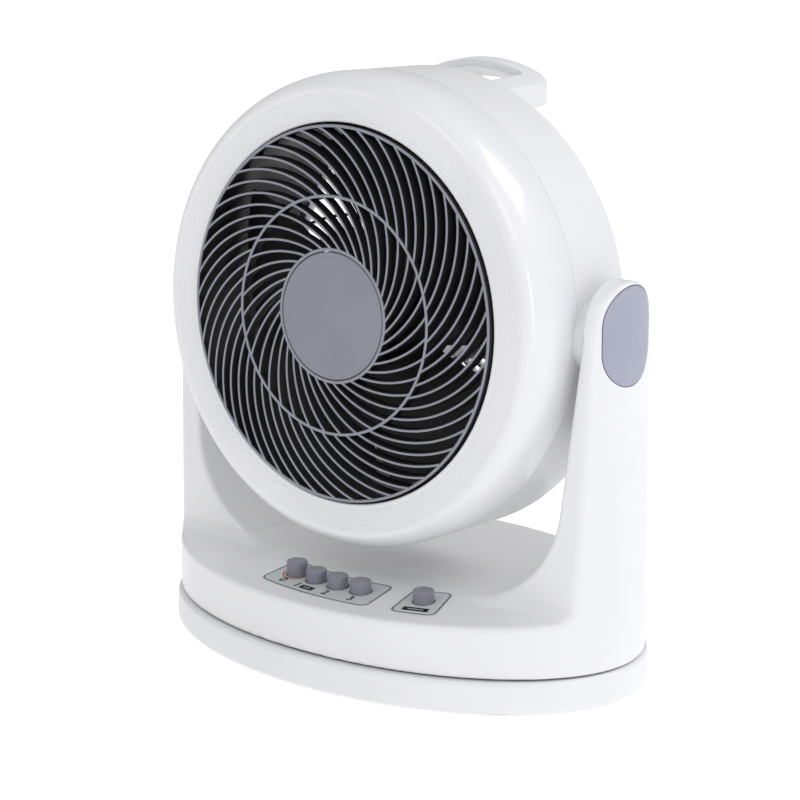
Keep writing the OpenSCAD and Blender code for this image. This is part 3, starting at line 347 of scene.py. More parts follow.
def arc_path(r0, r1, sweep, radius, n):
    """An arc of that radius, bending left, from (r0, 0) to (r1, sweep) in polar form: n points and their
    unit side vectors."""
    p = np.array([r0, 0.0])
    q = r1 * np.array([math.cos(math.radians(sweep)), math.sin(math.radians(sweep))])
    step = q - p
    length = np.hypot(*step)
    middle = (p + q) / 2 + np.array([-step[1], step[0]]) / length * math.sqrt(radius**2 - length**2 / 4)
    a0 = math.atan2(*(p - middle)[::-1])
    t = a0 + np.linspace(0, 2 * math.asin(length / 2 / radius), n)
    side = np.stack([np.cos(t), np.sin(t)], -1)
    return middle + radius * side, side


def rib_set(count, start, r0, r1, sweep, radius, n=22):
    """Rib k is the arc turned by start + 360 k / count; its section is a half-round front on sides that
    spread by a quarter towards the back."""
    path, side = arc_path(r0, r1, sweep, radius, n)
    half, edge = RIB_T / 2, np.radians(np.linspace(0, 180, 8))
    across = np.concatenate([[half * 1.25, half], half * np.cos(edge)[1:-1], [-half, -half * 1.25]])
    below_front = np.concatenate([[RIB_NOSE], RIB_NOSE * (1 - np.sin(edge)[1:-1]), [RIB_NOSE]])
    r = np.hypot(path[:, 0], path[:, 1])
    front, back = dome_front(r)[:, None], dome_back(r)[:, None]
    d = np.concatenate([back, front - below_front[None, :], back], 1)
    plan = path[:, None, :] + across[None, :, None] * side[:, None, :]
    turn = np.radians(start + 360 * np.arange(count) / count)[:, None, None]
    x = plan[None, ..., 0] * np.cos(turn) - plan[None, ..., 1] * np.sin(turn)
    u = plan[None, ..., 0] * np.sin(turn) + plan[None, ..., 1] * np.cos(turn)
    points = from_head(x, u, d[None] + 0 * x)
    cols = len(across)
    one = np.concatenate([grid_quads(n, cols, False, True), band_ends(n, cols)])
    mark = np.ones(len(one), int)
    column = np.tile(np.arange(cols), n - 1)
    mark[: len(column)] = np.where((column >= 1) & (column < cols - 2), 0, 1)
    return points.reshape(count, -1, 3), one, mark


def join_copies(parts):
    """Stacks (copies, faces of one copy, marks) into one list of points, faces and marks; each copy's
    faces are shifted by the number of its first point."""
    all_points, all_quads, all_marks, first = [], [], [], 0
    for points, one, mark in parts:
        count, size = points.shape[:2]
        all_points.append(points.reshape(-1, 3))
        shift = first + size * np.arange(count)[:, None, None]
        all_quads.append((one[None] + shift).reshape(-1, 4))
        all_marks.append(np.tile(mark, count))
        first += count * size
    return np.concatenate(all_points), np.concatenate(all_quads), np.concatenate(all_marks)


def ring_part(profile, mark_from, mark_to, segments=192):
    """A small closed profile turned about the air axis; its faces between two columns are grey, the rest
    black."""
    points = lathe_points(profile, segments)
    one = grid_quads(segments, len(profile), True, True)
    column = np.tile(np.arange(len(profile)), segments)
    return points.reshape(1, -1, 3), one, np.where((column >= mark_from) & (column < mark_to), 0, 1)


def ring_profile(r_in, r_out, front, back, round_r=0.7):
    """A ring's section: straight sides, and a front edge rounded at both corners."""
    outer = arc_points(r_out - round_r, front - round_r, round_r, round_r, 0, 90, 5)
    inner = arc_points(r_in + round_r, front - round_r, round_r, round_r, 90, 180, 5)
    return np.concatenate([[[r_out, back]], outer, inner, [[r_in, back]]])


GREY_FROM, GREY_TO = 1, 10  # the columns of a ring's rounded front
grille_parts = [
    rib_set(36, 2.1, HUB_RING_R + 1, MID_RING_R, 35.4, 80),
    rib_set(48, 2.76, MID_RING_R, RIM_RING_R - 1.6, 36, 86),
    ring_part(ring_profile(HUB_RING_R, 43.4, DOME_FRONT_D, DOME_BACK_D), GREY_FROM, GREY_TO),
    ring_part(ring_profile(MID_RING_R - 0.95, MID_RING_R + 0.95, 69.0, DOME_BACK_D), GREY_FROM, GREY_TO),
    ring_part(ring_profile(118.7, RIM_RING_R - 0.2, 64.4, SEAT_D, 0.8), GREY_FROM, GREY_TO, 256),
]
turned_out = [(points, outward(points[0], one), mark) for points, one, mark in grille_parts]
grille_points, grille_quads, grille_marks = join_copies(turned_out)
grille = new_piece("front_grille_ribs", grille_points, grille_quads, "head", "grille_grey",
                   ["front_grille"], 50, grille_marks)
grille.data.materials.append(rib_grey)
grille.data.materials.append(rib_black)

# %% [markdown]
# ## Centre cap
# A plain satin disc closes the middle of the grille. Its face is very slightly domed
# and its edge is rounded, with a fine turned line just inside.

# %% Centre cap
CAP_R, CAP_FRONT_D, CAP_BACK_D, CAP_EDGE_R = 40.8, 69.5, 63.8, 1.2
LINE_R, LINE_W, LINE_DEPTH = 38.6, 0.35, 0.18


def cap_face(r):
    """d = CAP_FRONT_D less 0.5 (r / CAP_R)^2, less the fine line's LINE_DEPTH exp(-((r - LINE_R) /
    LINE_W)^2)."""
    line = LINE_DEPTH * np.exp(-(((r - LINE_R) / LINE_W) ** 2))
    return CAP_FRONT_D - 0.5 * (r / CAP_R) ** 2 - line


flat_r = CAP_R - CAP_EDGE_R
cap_r = np.concatenate([np.linspace(AXIS_R, 36, 14), np.linspace(36.5, flat_r, 18)])
cap_edge = arc_points(flat_r, cap_face(flat_r) - CAP_EDGE_R, CAP_EDGE_R, CAP_EDGE_R, 90, 0, 7)[1:]
cap_profile = np.concatenate([np.stack([cap_r, cap_face(cap_r)], -1), cap_edge,
                              [[CAP_R, CAP_BACK_D], [AXIS_R, CAP_BACK_D]]])
centre_cap = lathe_piece("centre_cap_disc", cap_profile, "head", "cap_grey", ["centre_cap"], segments=192)
centre_cap.data.materials.append(cap_grey)

# %% [markdown]
# ## Fan wheel
# Behind the grille a wheel of swept blades sits on a round hub. A blade is a curved
# sheet with a thickness that swells to the middle: a function of how far out and how
# far round one is. Both faces are rows of one ring-shaped grid, so the sheet closes
# on itself without a seam.

# %% Fan wheel
HUB_R, TIP_R, BLADES, BLADE_SPAN, BLADE_TURN = 36.0, 115.0, 5, 58.0, 12.0
BLADE_D, BLADE_RISE, BLADE_BELLY, BLADE_SKEW, BLADE_HALF, BLADE_ROOT = 26.0, 34.0, 5.0, 16.0, 1.2, 1.5
HUB_FRONT_D, HUB_REAR_D, HUB_EDGE_R, BORE_R = 46.0, 6.0, 4.0, 8.0
BLADE_ROWS, BLADE_COLS, HUB_SEGMENTS = 20, 28, 128


def blade_points(turn):
    """At s out (0 hub, 1 tip) and j round (0 rear, 1 front) the angle is turn + BLADE_SPAN (j - 1/2) +
    BLADE_SKEW s (1 - 0.35 j), the depth is BLADE_D + (BLADE_RISE - 4 s) (1/2 - j) - BLADE_BELLY sin(180
    j), and the half thickness is BLADE_HALF (0.35 + 0.65 sin(180 j)) (1 - 0.3 s)."""
    s = np.linspace(0, 1, BLADE_ROWS)[:, None]
    there = np.linspace(0, 1, BLADE_COLS)[None, :]
    j = np.concatenate([there, there[:, ::-1]], 1)
    face = np.repeat([[1, -1]], BLADE_COLS, 1)
    angle = np.radians(BLADE_SPAN * (j - 0.5) + BLADE_SKEW * s * (1 - 0.35 * j) + turn)
    half = BLADE_HALF * (0.35 + 0.65 * np.sin(np.pi * j)) * (1 - 0.3 * s)
    d = BLADE_D + (BLADE_RISE - 4 * s) * (0.5 - j) - BLADE_BELLY * np.sin(np.pi * j) + face * half
    r = HUB_R - BLADE_ROOT + (TIP_R - HUB_R + BLADE_ROOT) * s
    return from_head(r * np.cos(angle), r * np.sin(angle), d)


blade_quads = np.concatenate([grid_quads(BLADE_ROWS, 2 * BLADE_COLS, False, True),
                              band_ends(BLADE_ROWS, 2 * BLADE_COLS)])
blades = np.stack([blade_points(BLADE_TURN + 360 * k / BLADES).reshape(-1, 3) for k in range(BLADES)])
hub_profile = np.concatenate([
    [[BORE_R, HUB_FRONT_D - 0.1]],
    arc_points(HUB_R - HUB_EDGE_R, HUB_FRONT_D - HUB_EDGE_R, HUB_EDGE_R, HUB_EDGE_R, 90, 0, 8),
    [[HUB_R, HUB_REAR_D], [HUB_R - WALL, HUB_REAR_D]],
    [[HUB_R - WALL, HUB_FRONT_D - 3], [BORE_R, HUB_FRONT_D - 3]],
])
hub_points = lathe_points(hub_profile, HUB_SEGMENTS)
hub_quads = outward(hub_points, grid_quads(HUB_SEGMENTS, len(hub_profile), True, True))
wheel_points, wheel_quads, _ = join_copies([
    (blades, outward(blades[0], blade_quads), np.zeros(len(blade_quads), int)),
    (hub_points.reshape(1, -1, 3), hub_quads, np.zeros(len(hub_quads), int)),
])
fan_wheel = new_piece("fan_wheel", wheel_points, wheel_quads, "rotor", "black_plastic", ["fan"], 40)
fan_wheel.data.materials.append(black_plastic)

# %% [markdown]
# ## Carrying handle
# At the back of the drum a flat handle arches over a gap for the fingers. It is a
# U-shaped band: an outer and an inner outline with the same number of points, and a
# rounded section carried between them. The flat band is then laid on the arch and
# tipped up a little towards its end.

# %% Carrying handle
HANDLE_T, HANDLE_LIP, ARCH_R, HANDLE_RISE = 13.0, 6.0, 105.0, math.radians(3.5)
OUTER_U, INNER_U = (52, 57, 14), (37, 43, 7)  # half width, reach and corner radius of each outline
OUTER_EDGE, INNER_EDGE, ROOT = 2.6, 1.6, -5  # edge radii; both outlines start this far inside the drum


def u_outline(half, back, corner, n=12):
    """From (-half, ROOT) back along one side, round two corners of that radius, and forward to (half,
    ROOT)."""
    left = np.stack([np.full(n, -half), np.linspace(ROOT, back - corner, n)], -1)
    turn1 = arc_points(-half + corner, back - corner, corner, corner, 180, 90, n)[1:]
    across = np.stack([np.linspace(-half + corner, half - corner, 2 * n), np.full(2 * n, back)], -1)[1:]
    turn2 = arc_points(half - corner, back - corner, corner, corner, 90, 0, n)[1:]
    right = np.stack([np.full(n, half), np.linspace(back - corner, ROOT, n)], -1)[1:]
    return np.concatenate([left, turn1, across, turn2, right])


def handle_points():
    """At each place along the U the section runs round: outer edge, top, inner edge, underside, with edges
    rounded. Under the grip bar the inner edge is lifted by (HANDLE_T - HANDLE_LIP) q^2, q from 0 at the
    corner to 1 at the bar. The arch then lowers a point at x by ARCH_R less the root of (ARCH_R -
    HANDLE_T + level)^2 - x^2."""
    outer, inner = u_outline(*OUTER_U), u_outline(*INNER_U)
    inwards = inner - outer
    inwards /= np.hypot(*inwards.T)[:, None]
    q = np.radians(np.linspace(0, 90, 6))
    ro, ri = OUTER_EDGE, INNER_EDGE
    rows = [(0, ro * (1 - np.cos(t)), HANDLE_T - ro + ro * np.sin(t)) for t in q]
    rows += [(1, ri * (1 - np.sin(t)), HANDLE_T - ri + ri * np.cos(t)) for t in q]
    rows += [(1, ri * (1 - np.cos(t)), ri - ri * np.sin(t)) for t in q]
    rows += [(0, ro * (1 - np.sin(t)), ro - ro * np.cos(t)) for t in q]
    which, inset, level = (np.array(c, float) for c in zip(*rows))
    lift = (HANDLE_T - HANDLE_LIP) * np.clip((inner[:, 1] - INNER_U[1] + 9) / 9, 0, 1) ** 2
    level = level[None, :] + lift[:, None] * ((which > 0) & (level < HANDLE_T / 2))[None, :]
    base = np.where(which[None, :, None] > 0, inner[:, None], outer[:, None])
    sign = np.where(which > 0, -1, 1)
    plan = base + (sign * inset)[None, :, None] * inwards[:, None]
    x, w = plan[..., 0], plan[..., 1]
    rise = np.sqrt((ARCH_R - HANDLE_T + level) ** 2 - x**2) - ARCH_R
    c, s = math.cos(HANDLE_RISE), math.sin(HANDLE_RISE)
    return from_head(x, DRUM_R + rise * c + w * s, RIM_D + rise * s - w * c), len(which)


handle_grid, handle_cols = handle_points()
handle_quads = np.concatenate([grid_quads(len(handle_grid), handle_cols, False, True),
                               band_ends(len(handle_grid), handle_cols)])
handle = new_piece("carrying_handle", handle_grid, outward(handle_grid, handle_quads), "head", "white_shell",
                   ["handle"], 40)
handle.data.materials.append(white_shell)

# %% [markdown]
# ## Arms and deck
# The yoke is the one shape a grid can't follow easily: two leaning arms, an oval
# outline and a hollow sweep all meet in edges that are rounded all along. Bevelling
# such a solid breaks at the long thin faces. Instead the shape is written as a
# distance field, where a rounded edge is one short formula, and its skin is found
# on a lattice and then drawn onto the exact surface.

# %% Distance fields
def outline_distance(px, py, outline):
    """Signed distance to a closed outline: the least distance to any side, negative inside by the even-odd
    rule."""
    best = np.full(np.broadcast(px, py).shape, 1e9)
    inside = np.zeros(best.shape, bool)
    for a, b in zip(outline, np.roll(outline, -1, 0)):
        ex, ey = b - a
        wx, wy = px - a[0], py - a[1]
        t = np.clip((wx * ex + wy * ey) / (ex * ex + ey * ey + 1e-12), 0, 1)
        best = np.minimum(best, (wx - t * ex) ** 2 + (wy - t * ey) ** 2)
        over = ex / (ey if abs(ey) > 1e-12 else 1e-12)
        inside ^= ((a[1] <= py) != (b[1] <= py)) & (px < a[0] + (py - a[1]) * over)
    return np.where(inside, -1, 1) * np.sqrt(best)


def both(a, b, r):
    """The part inside both a and b, its edge rounded with radius r: min(-r, max(a, b)) + |max(0, (a + r, b
    + r))|."""
    return np.minimum(-r, np.maximum(a, b)) + np.hypot(np.maximum(a + r, 0), np.maximum(b + r, 0))


def oval_distance(x, y, a, b):
    """First-order distance to an oval: F / |grad F| with F = (x/a)^2 + (y/b)^2 - 1."""
    f = (x / a) ** 2 + (y / b) ** 2 - 1
    return f / (2 * np.sqrt((x / a**2) ** 2 + (y / b**2) ** 2) + 1e-9)


ARM_TOP_Z, ARM_R, ARM_FOOT, FOOT_ROUND, FOOT_Z, ROOT_Z = 241.67, 29.5, 37.2, 12.0, 58.5, 48
foot_reach = ARM_FOOT + FOOT_ROUND
arm_side = np.concatenate([
    [[ARM_Y + foot_reach, ROOT_Z]],
    arc_points(ARM_Y + foot_reach, FOOT_Z + FOOT_ROUND, FOOT_ROUND, FOOT_ROUND, 270, 180, 12),
    arc_points(ARM_Y, ARM_TOP_Z, ARM_R, ARM_R, 0, 180, 48),
    arc_points(ARM_Y - foot_reach, FOOT_Z + FOOT_ROUND, FOOT_ROUND, FOOT_ROUND, 0, -90, 12),
    [[ARM_Y - foot_reach, ROOT_Z]],
])
ARM_IN, SWEEP_X, SWEEP_Z, SWEEP_R, LEAN = 162.3, 76.4, 135.0, 75.0, 6
half_gap = np.concatenate([[[SWEEP_X, 40]], arc_points(SWEEP_X, SWEEP_Z, SWEEP_R, SWEEP_R, -90, -LEAN, 40),
                           [[ARM_IN, PIVOT_Z], [ARM_IN, PIVOT_Z + 200]]])
head_gap = np.concatenate([half_gap, half_gap[::-1] * [-1, 1]])
ROW_Y, ROW_R = -72.4, 230.0
BUTTON_X = [-35.6, -17.0, 1.6, 20.2, 65.0]
WELL_R, WELL_DEPTH = 8.2, 14
EDGE_R, OVAL_EDGE_R, SEAM_EDGE_R = 3.0, 2.6, 0.9


def row_at(x):
    """The buttons stand on an arc: y = ROW_Y + ROW_R - sqrt(ROW_R^2 - x^2)."""
    return ROW_Y + ROW_R - np.sqrt(ROW_R**2 - x**2)


def yoke_field(x, y, z):
    """Oval wall and (slab or arms), less the button wells: arms = side outline and not the gap for the
    head."""
    arms = both(outline_distance(y, z, arm_side), -outline_distance(x, z, head_gap), EDGE_R)
    slope = (z - DECK_Z) * math.cos(PANEL_SLOPE) + (PANEL_Y - y) * math.sin(PANEL_SLOPE)
    slab = np.maximum(z - DECK_Z, slope)
    body = both(oval_distance(x, y, UPPER_A, UPPER_B), np.minimum(slab, arms), OVAL_EDGE_R)
    body = both(body, SEAM_Z - z, SEAM_EDGE_R)
    for bx in BUTTON_X:
        well = np.maximum(np.hypot(x - bx, y - row_at(bx)) - WELL_R, DECK_Z - WELL_DEPTH - z)
        body = np.maximum(body, -well)
    return body


gap_middle = float(yoke_field(0.0, ARM_Y, PIVOT_Z))
print(f"gap for the head {2 * ARM_IN:.1f} mm wide; its middle lies {gap_middle:.1f} mm outside the yoke")

# %% [markdown]
# ## From a field to a skin
# A field only says how far away the surface is. Its values on a lattice tell which
# cells the surface crosses. Each such cell gets one point and neighbours are joined,
# which gives an even net of quads. The points are then pulled onto the surface
# along the field's slope, so the finish hardly depends on the lattice.

# %% Skin of a field
def field_skin(field, low, high, step):
    """Each lattice cell that the surface crosses gets one point, the mean of the crossings on its edges;
    each lattice edge that crosses the surface joins its four cells. Four steps p - f grad f / |grad
    f|^2 then reach the surface."""
    axes = [np.arange(a, b + step, step) for a, b in zip(low, high)]
    f = field(axes[0][:, None, None], axes[1][None, :, None], axes[2][None, None, :])
    inside = f < 0
    n = np.array(f.shape) - 1
    corner = [(i, j, k) for i in (0, 1) for j in (0, 1) for k in (0, 1)]
    cut = [inside[i:i + n[0], j:j + n[1], k:k + n[2]] for i, j, k in corner]
    mixed = np.logical_or.reduce(cut) & ~np.logical_and.reduce(cut)
    cell = np.argwhere(mixed)
    number = np.full(mixed.shape, -1, np.int64)
    number[mixed] = np.arange(len(cell))
    value = np.stack([f[tuple((cell + c).T)] for c in corner], 1)
    total, hits = np.zeros((len(cell), 3)), np.zeros(len(cell))
    for p, cp in enumerate(corner):
        for q, cq in enumerate(corner):
            if sum(np.abs(np.subtract(cp, cq))) == 1 and p < q:
                a, b = value[:, p], value[:, q]
                crossed = (a < 0) != (b < 0)
                t = np.where(crossed, a / np.where(crossed, a - b, 1), 0)
                total += crossed[:, None] * (np.array(cp) + t[:, None] * np.subtract(cq, cp))
                hits += crossed
    points = np.array(low) + step * (cell + total / hits[:, None])
    quads = []
    for axis in range(3):
        one, two = [(1, 2), (2, 0), (0, 1)][axis]
        unit = np.eye(3, dtype=int)
        a = inside.take(range(0, n[axis]), axis)
        b = inside.take(range(1, n[axis] + 1), axis)
        edge = np.argwhere(a != b)
        across = edge[:, [one, two]]
        edge = edge[np.all((across > 0) & (across < n[[one, two]]), 1)]
        flip = a[tuple(edge.T)]
        ring = [edge - unit[one] - unit[two], edge - unit[two], edge, edge - unit[one]]
        face = np.stack([number[tuple(c.T)] for c in ring], 1)
        quads.append(np.where(flip[:, None], face, face[:, ::-1]))
    e = 0.02  # half the span over which the slope is measured
    for _ in range(4):
        x, y, z = points.T
        value = field(x, y, z)
        slope = np.stack([field(x + e, y, z) - field(x - e, y, z), field(x, y + e, z) - field(x, y - e, z),
                          field(x, y, z + e) - field(x, y, z - e)], 1) / (2 * e)
        move = -value[:, None] * slope / (np.sum(slope**2, 1)[:, None] + 1e-9)
        points = points + np.clip(move, -step / 2, step / 2)
    return points, np.concatenate(quads)


skin_step = 1.7
YOKE_LOW, YOKE_HIGH = (-182.3, -112.1, 21.3), (182.3, 112.1, 275.3)
yoke_points, yoke_quads = field_skin(yoke_field, YOKE_LOW, YOKE_HIGH, skin_step)
yoke = new_piece("yoke_arms_and_deck", yoke_points, outward(yoke_points, yoke_quads), "yoke", "white_shell",
                 ["yoke_housing"], 60)
yoke.data.materials.append(white_shell)

# %% [markdown]
# ## Inner covers of the arms
# The side of each arm that faces the head is closed by a thin cover. It follows the
# same sweep as the arm: its outline is the arm's side view, drawn in by a margin, and
# each point is laid on the sweep. The cover stands a few tenths proud, with a rounded
# edge, so that its joint line shows.

# %% Inner covers of the arms
COVER_MARGIN, COVER_LOW_Z, COVER_T, COVER_PROUD, COVER_SINK = 4.2, 66, 1.5, 0.45, 0.05
COVER_ROWS, COVER_COLS = 60, 13


def gap_surface_x(z):
    """Inside of an arm at height z: SWEEP_X + sqrt(SWEEP_R^2 - (z - SWEEP_Z)^2) on the sweep, a straight
    lean above."""
    lean = math.radians(LEAN)
    end_z = SWEEP_Z - SWEEP_R * math.sin(lean)
    end_x = SWEEP_X + SWEEP_R * math.cos(lean)
    on_sweep = SWEEP_X + np.sqrt(np.maximum(SWEEP_R**2 - (np.minimum(z, end_z) - SWEEP_Z) ** 2, 0))
    on_lean = end_x + (z - end_z) * (ARM_IN - end_x) / (PIVOT_Z - end_z)
    return np.where(z < end_z, on_sweep, np.minimum(on_lean, ARM_IN))


def cover_points(side):
    """Height z runs from COVER_LOW_Z to the arm's top less the margin; the half width there is the arm's
    less the margin, and the section across is a low cushion: proud by COVER_PROUD (1 - e^8) -
    COVER_SINK, e from -1 to 1 across."""
    v = np.linspace(0, 1, COVER_ROWS)[:, None]
    top = ARM_TOP_Z + ARM_R - COVER_MARGIN
    z = COVER_LOW_Z + (top - COVER_LOW_Z) * np.sin(v * np.pi / 2) ** 0.9
    half_top = np.sqrt(np.maximum((ARM_R - COVER_MARGIN) ** 2 - np.maximum(z - ARM_TOP_Z, 0) ** 2, 0.0))
    half_low = ARM_R + (ARM_FOOT - ARM_R) * (ARM_TOP_Z - z) / (ARM_TOP_Z - 70) - COVER_MARGIN
    half = np.where(z > ARM_TOP_Z, half_top, half_low)
    e = np.sin(np.linspace(-1, 1, COVER_COLS)[None, :] * np.pi / 2) + 0 * v
    proud = COVER_PROUD * (1 - np.abs(e) ** 8) - COVER_SINK
    front = np.stack([side * (gap_surface_x(z) - proud), ARM_Y + half * e, z + 0 * e], -1)
    back = np.stack([side * (gap_surface_x(z) + COVER_T + 0 * e), ARM_Y + half * e, z + 0 * e], -1)
    return np.concatenate([front, back[:, ::-1]], 1)


for side, name in ((-1, "left"), (1, "right")):
    grid = cover_points(side)
    rows, cols = grid.shape[:2]
    quads = np.concatenate([grid_quads(rows, cols, False, True), band_ends(rows, cols)])
    cover = new_piece(f"arm_inner_cover_{name}", grid, outward(grid, quads), "yoke", "white_shell",
                      [f"arm_cover_{name}"], 40)
    cover.data.materials.append(white_shell)

# %% [markdown]
# ## Pivot caps
# An oval grey cap hides each tilt pivot. It is like a lathe whose circle has been
# pulled apart in the middle: the outline is two half circles with a short straight
# between them, and every ring of the profile keeps that straight. The cap follows
# the oval side of the arm and stands a little proud of it. A thin black ring round
# the cap, level with the arm, is painted shade: it stands for the shadow in the gap
# between cap and arm.

# %% Pivot caps
CAP_MID_Z, CAP_ROUND_R, CAP_STRAIGHT, CAP_PROUD, CAP_SHADE_RING_W = 237.27, 23.5, 15.8, 0.45, 0.45
RIM_R, SHADE_RING_LEVEL, CAP_SUNK = 0.7, 0.06, -2.5


def pivot_cap_points(side, segments=144):
    """Ring r of the outline: y = r cos a, z = r sin a +- straight / 2; x = the arm's oval wall plus the
    profile's height. The last rings are a black ring round the cap, level with the arm: painted shade
    for the gap between cap and arm."""
    r_edge, r_shade_ring = CAP_ROUND_R - RIM_R, CAP_ROUND_R + CAP_SHADE_RING_W
    profile = np.concatenate([
        [[AXIS_R, CAP_PROUD]], np.stack([np.linspace(4, r_edge - 0.4, 14), np.full(14, CAP_PROUD)], -1),
        arc_points(r_edge, CAP_PROUD - RIM_R, RIM_R, RIM_R, 90, 0, 6),
        [[CAP_ROUND_R, SHADE_RING_LEVEL], [r_shade_ring, SHADE_RING_LEVEL], [r_shade_ring, CAP_SUNK], [AXIS_R, CAP_SUNK]]])
    a = np.linspace(0, 2 * np.pi, segments, endpoint=False)[:, None]
    r, h = profile[None, :, 0], profile[None, :, 1]
    y = ARM_Y + r * np.cos(a)
    z = CAP_MID_Z + r * np.sin(a) + np.where(np.sin(a) >= 0, 0.5, -0.5) * CAP_STRAIGHT * np.minimum(r / 4, 1)
    wall = UPPER_A * np.sqrt(1 - (y / UPPER_B) ** 2)
    return np.stack([side * (wall + h), y, z], -1), len(profile)


for side, name in ((-1, "left"), (1, "right")):
    grid, cols = pivot_cap_points(side)
    quads = outward(grid, grid_quads(len(grid), cols, True, True))
    # the last five columns are black: the ring of painted shade round the cap
    column = np.tile(np.arange(cols), len(grid))
    cap = new_piece(f"pivot_cap_{name}_disc", grid, quads, "yoke", "pivot_grey", [f"pivot_cap_{name}"], 40,
                    np.where(column < cols - 5, 0, 1))
    cap.data.materials.append(pivot_grey)
    cap.data.materials.append(black_plastic)

# %% [markdown]
# ## Foot
# The oval foot is a low dish turned upside down. Its section, from the rounded bottom
# edge up a wall with a little draft to the rounded top edge, is carried round the
# oval along the true normals, so that the rounding stays even.

# %% Foot
def oval_sweep(a, b, section, n=360):
    """P = (a cos t, b sin t) - inset * unit normal, with the unit normal along (cos t / a, sin t / b)."""
    t = np.linspace(0, 2 * np.pi, n, endpoint=False)[:, None]
    nx, ny = np.cos(t) / a, np.sin(t) / b
    size = np.hypot(nx, ny)
    inset, z = section[None, :, 0], section[None, :, 1]
    return np.stack([a * np.cos(t) - inset * nx / size, b * np.sin(t) - inset * ny / size, z + 0 * t], -1)


foot_section = np.concatenate([
    arc_points(2.6, 4.6, -2.4, 2.6, -90, 0, 8),
    [[0.0, 9.0], [0.25, 14.0], [0.45, 18.0]],
    arc_points(3.15, 20.0, -2.7, 2.7, 0, 90, 8),
    [[8.0, 22.7], [30.0, 22.7], [60.0, 22.7], [60.0, 20.2], [4.0, 20.2], [3.0, 18.0], [3.0, 2.2]],
])
foot_grid = oval_sweep(LOWER_A, LOWER_B, foot_section)
foot_quads = grid_quads(len(foot_grid), len(foot_section), True, True)
foot = new_piece("oval_foot", foot_grid, outward(foot_grid, foot_quads), "stand", "white_shell",
                 ["lower_base"], 40)
foot.data.materials.append(white_foot)

# %% [markdown]
# ## Buttons
# Five round keys stand on the deck. Each is a lathe profile with a rounded rim and a
# face that is dished by a hair. A black liner below the deck is painted shade: it
# makes the slot round each key as dark as the hole looks on the real deck.

# %% Buttons and the painted shade in their slots
BUTTON_R, BUTTON_H, BUTTON_EDGE_R, KEY_SEGMENTS = 6.95, 8.4, 0.95, 72


def upright_lathe(x, y, profile):
    """A profile of (r, z) turned about the upright line through (x, y)."""
    a = np.linspace(0, 2 * np.pi, KEY_SEGMENTS, endpoint=False)[:, None]
    r, z = profile[None, :, 0], profile[None, :, 1]
    return np.stack([x + r * np.cos(a), y + r * np.sin(a), z + 0 * a], -1)


KEYS = [("button_off", "off_key", 1.5), ("button_1", "key_1", 0), ("button_2", "key_2", 0),
        ("button_3", "key_3", 0), ("button_swing", "swing_key", 0)]
for (node_name, body, extra), bx in zip(KEYS, BUTTON_X):
    by = float(row_at(bx))
    deck = float(panel_height(by))
    top = deck + BUTTON_H + extra
    profile = np.concatenate([
        [[AXIS_R, top - 0.22], [2.5, top - 0.19], [4.4, top - 0.08]],
        arc_points(BUTTON_R - BUTTON_EDGE_R, top - BUTTON_EDGE_R, BUTTON_EDGE_R, BUTTON_EDGE_R, 90, 0, 7),
        [[BUTTON_R, deck - 2], [BUTTON_R, deck - 7], [AXIS_R, deck - 7]],
    ])
    grid = upright_lathe(bx, by, profile)
    quads = grid_quads(len(grid), len(profile), True, True)
    key = new_piece(f"{node_name}_key", grid, outward(grid, quads), body, "button_grey", [node_name], 40)
    key.data.materials.append(button_grey)

# black liners below the deck: painted shade in the slot round each key
shade_liner_section = np.array([[7.45, -0.2], [8.15, -0.2], [8.15, -9.0], [7.45, -9.0]])
shade_liners = []
for bx in BUTTON_X:
    by = float(row_at(bx))
    grid = upright_lathe(bx, by, shade_liner_section)
    grid[..., 2] += panel_height(grid[..., 1])
    shade_liners.append(grid.reshape(-1, 3))
shade_liner_quads = outward(shade_liners[0], grid_quads(KEY_SEGMENTS, len(shade_liner_section), True, True))
shade_liner_points, shade_liner_quads, _ = join_copies([(np.stack(shade_liners), shade_liner_quads, np.zeros(len(shade_liner_quads), int))])
shade_liner = new_piece("button_slot_painted_shade", shade_liner_points, shade_liner_quads, "yoke", "black_plastic", (), 40)
shade_liner.data.materials.append(black_plastic)

# %% [markdown]
# ## Printing on the panels
# The two panels are thin printed films. A dark line runs round their edge, numbers
# stand in front of the keys, and a red ring marks the off key. A thin black ring round
# each key is painted shade for the slot between key and film. The prints are
# closed sheets a few hundredths of a millimetre thick, laid on the sloping film.

# %% Lines round the panels
FILM_TOP = 0.4
PANEL_FRONT, PANEL_BACK, PANEL_CORNER = -20.3, 16.3, 6.0


def panel_lean(x):
    """On the right the film leans with the row: max(x, 0) / ROW_R."""
    return np.maximum(x, 0) / ROW_R


def panel_point(x, back):
    """A place on the film: x shifted by the lean, y at the row plus the distance behind it."""
    return np.stack([x - panel_lean(x) * back, row_at(x) + back], -1)


def panel_outline(x0, x1, n=24):
    """Two arcs and two sides. Each corner C becomes (1-t)^2 P + 2 t (1-t) C + t^2 Q, with P and Q a
    corner's width away."""
    xs = np.linspace(x0, x1, n)
    depth = np.linspace(PANEL_FRONT, PANEL_BACK, 8)
    sides = [panel_point(xs, PANEL_FRONT), panel_point(np.full(8, x1), depth),
             panel_point(xs[::-1], PANEL_BACK), panel_point(np.full(8, x0), depth[::-1])]
    cut, out = [], []
    for s in sides:
        length = np.concatenate([[0], np.cumsum(np.hypot(*np.diff(s, axis=0).T))])
        at = np.linspace(PANEL_CORNER, length[-1] - PANEL_CORNER, n)
        cut.append(np.stack([np.interp(at, length, s[:, 0]), np.interp(at, length, s[:, 1])], -1))
    t = np.linspace(0, 1, 10)[1:-1, None]
    for i, s in enumerate(cut):
        after = cut[(i + 1) % 4]
        bend = sides[i][-1]
        out += [s, (1 - t) ** 2 * s[-1] + 2 * t * (1 - t) * bend + t**2 * after[0]]
    return np.concatenate(out)


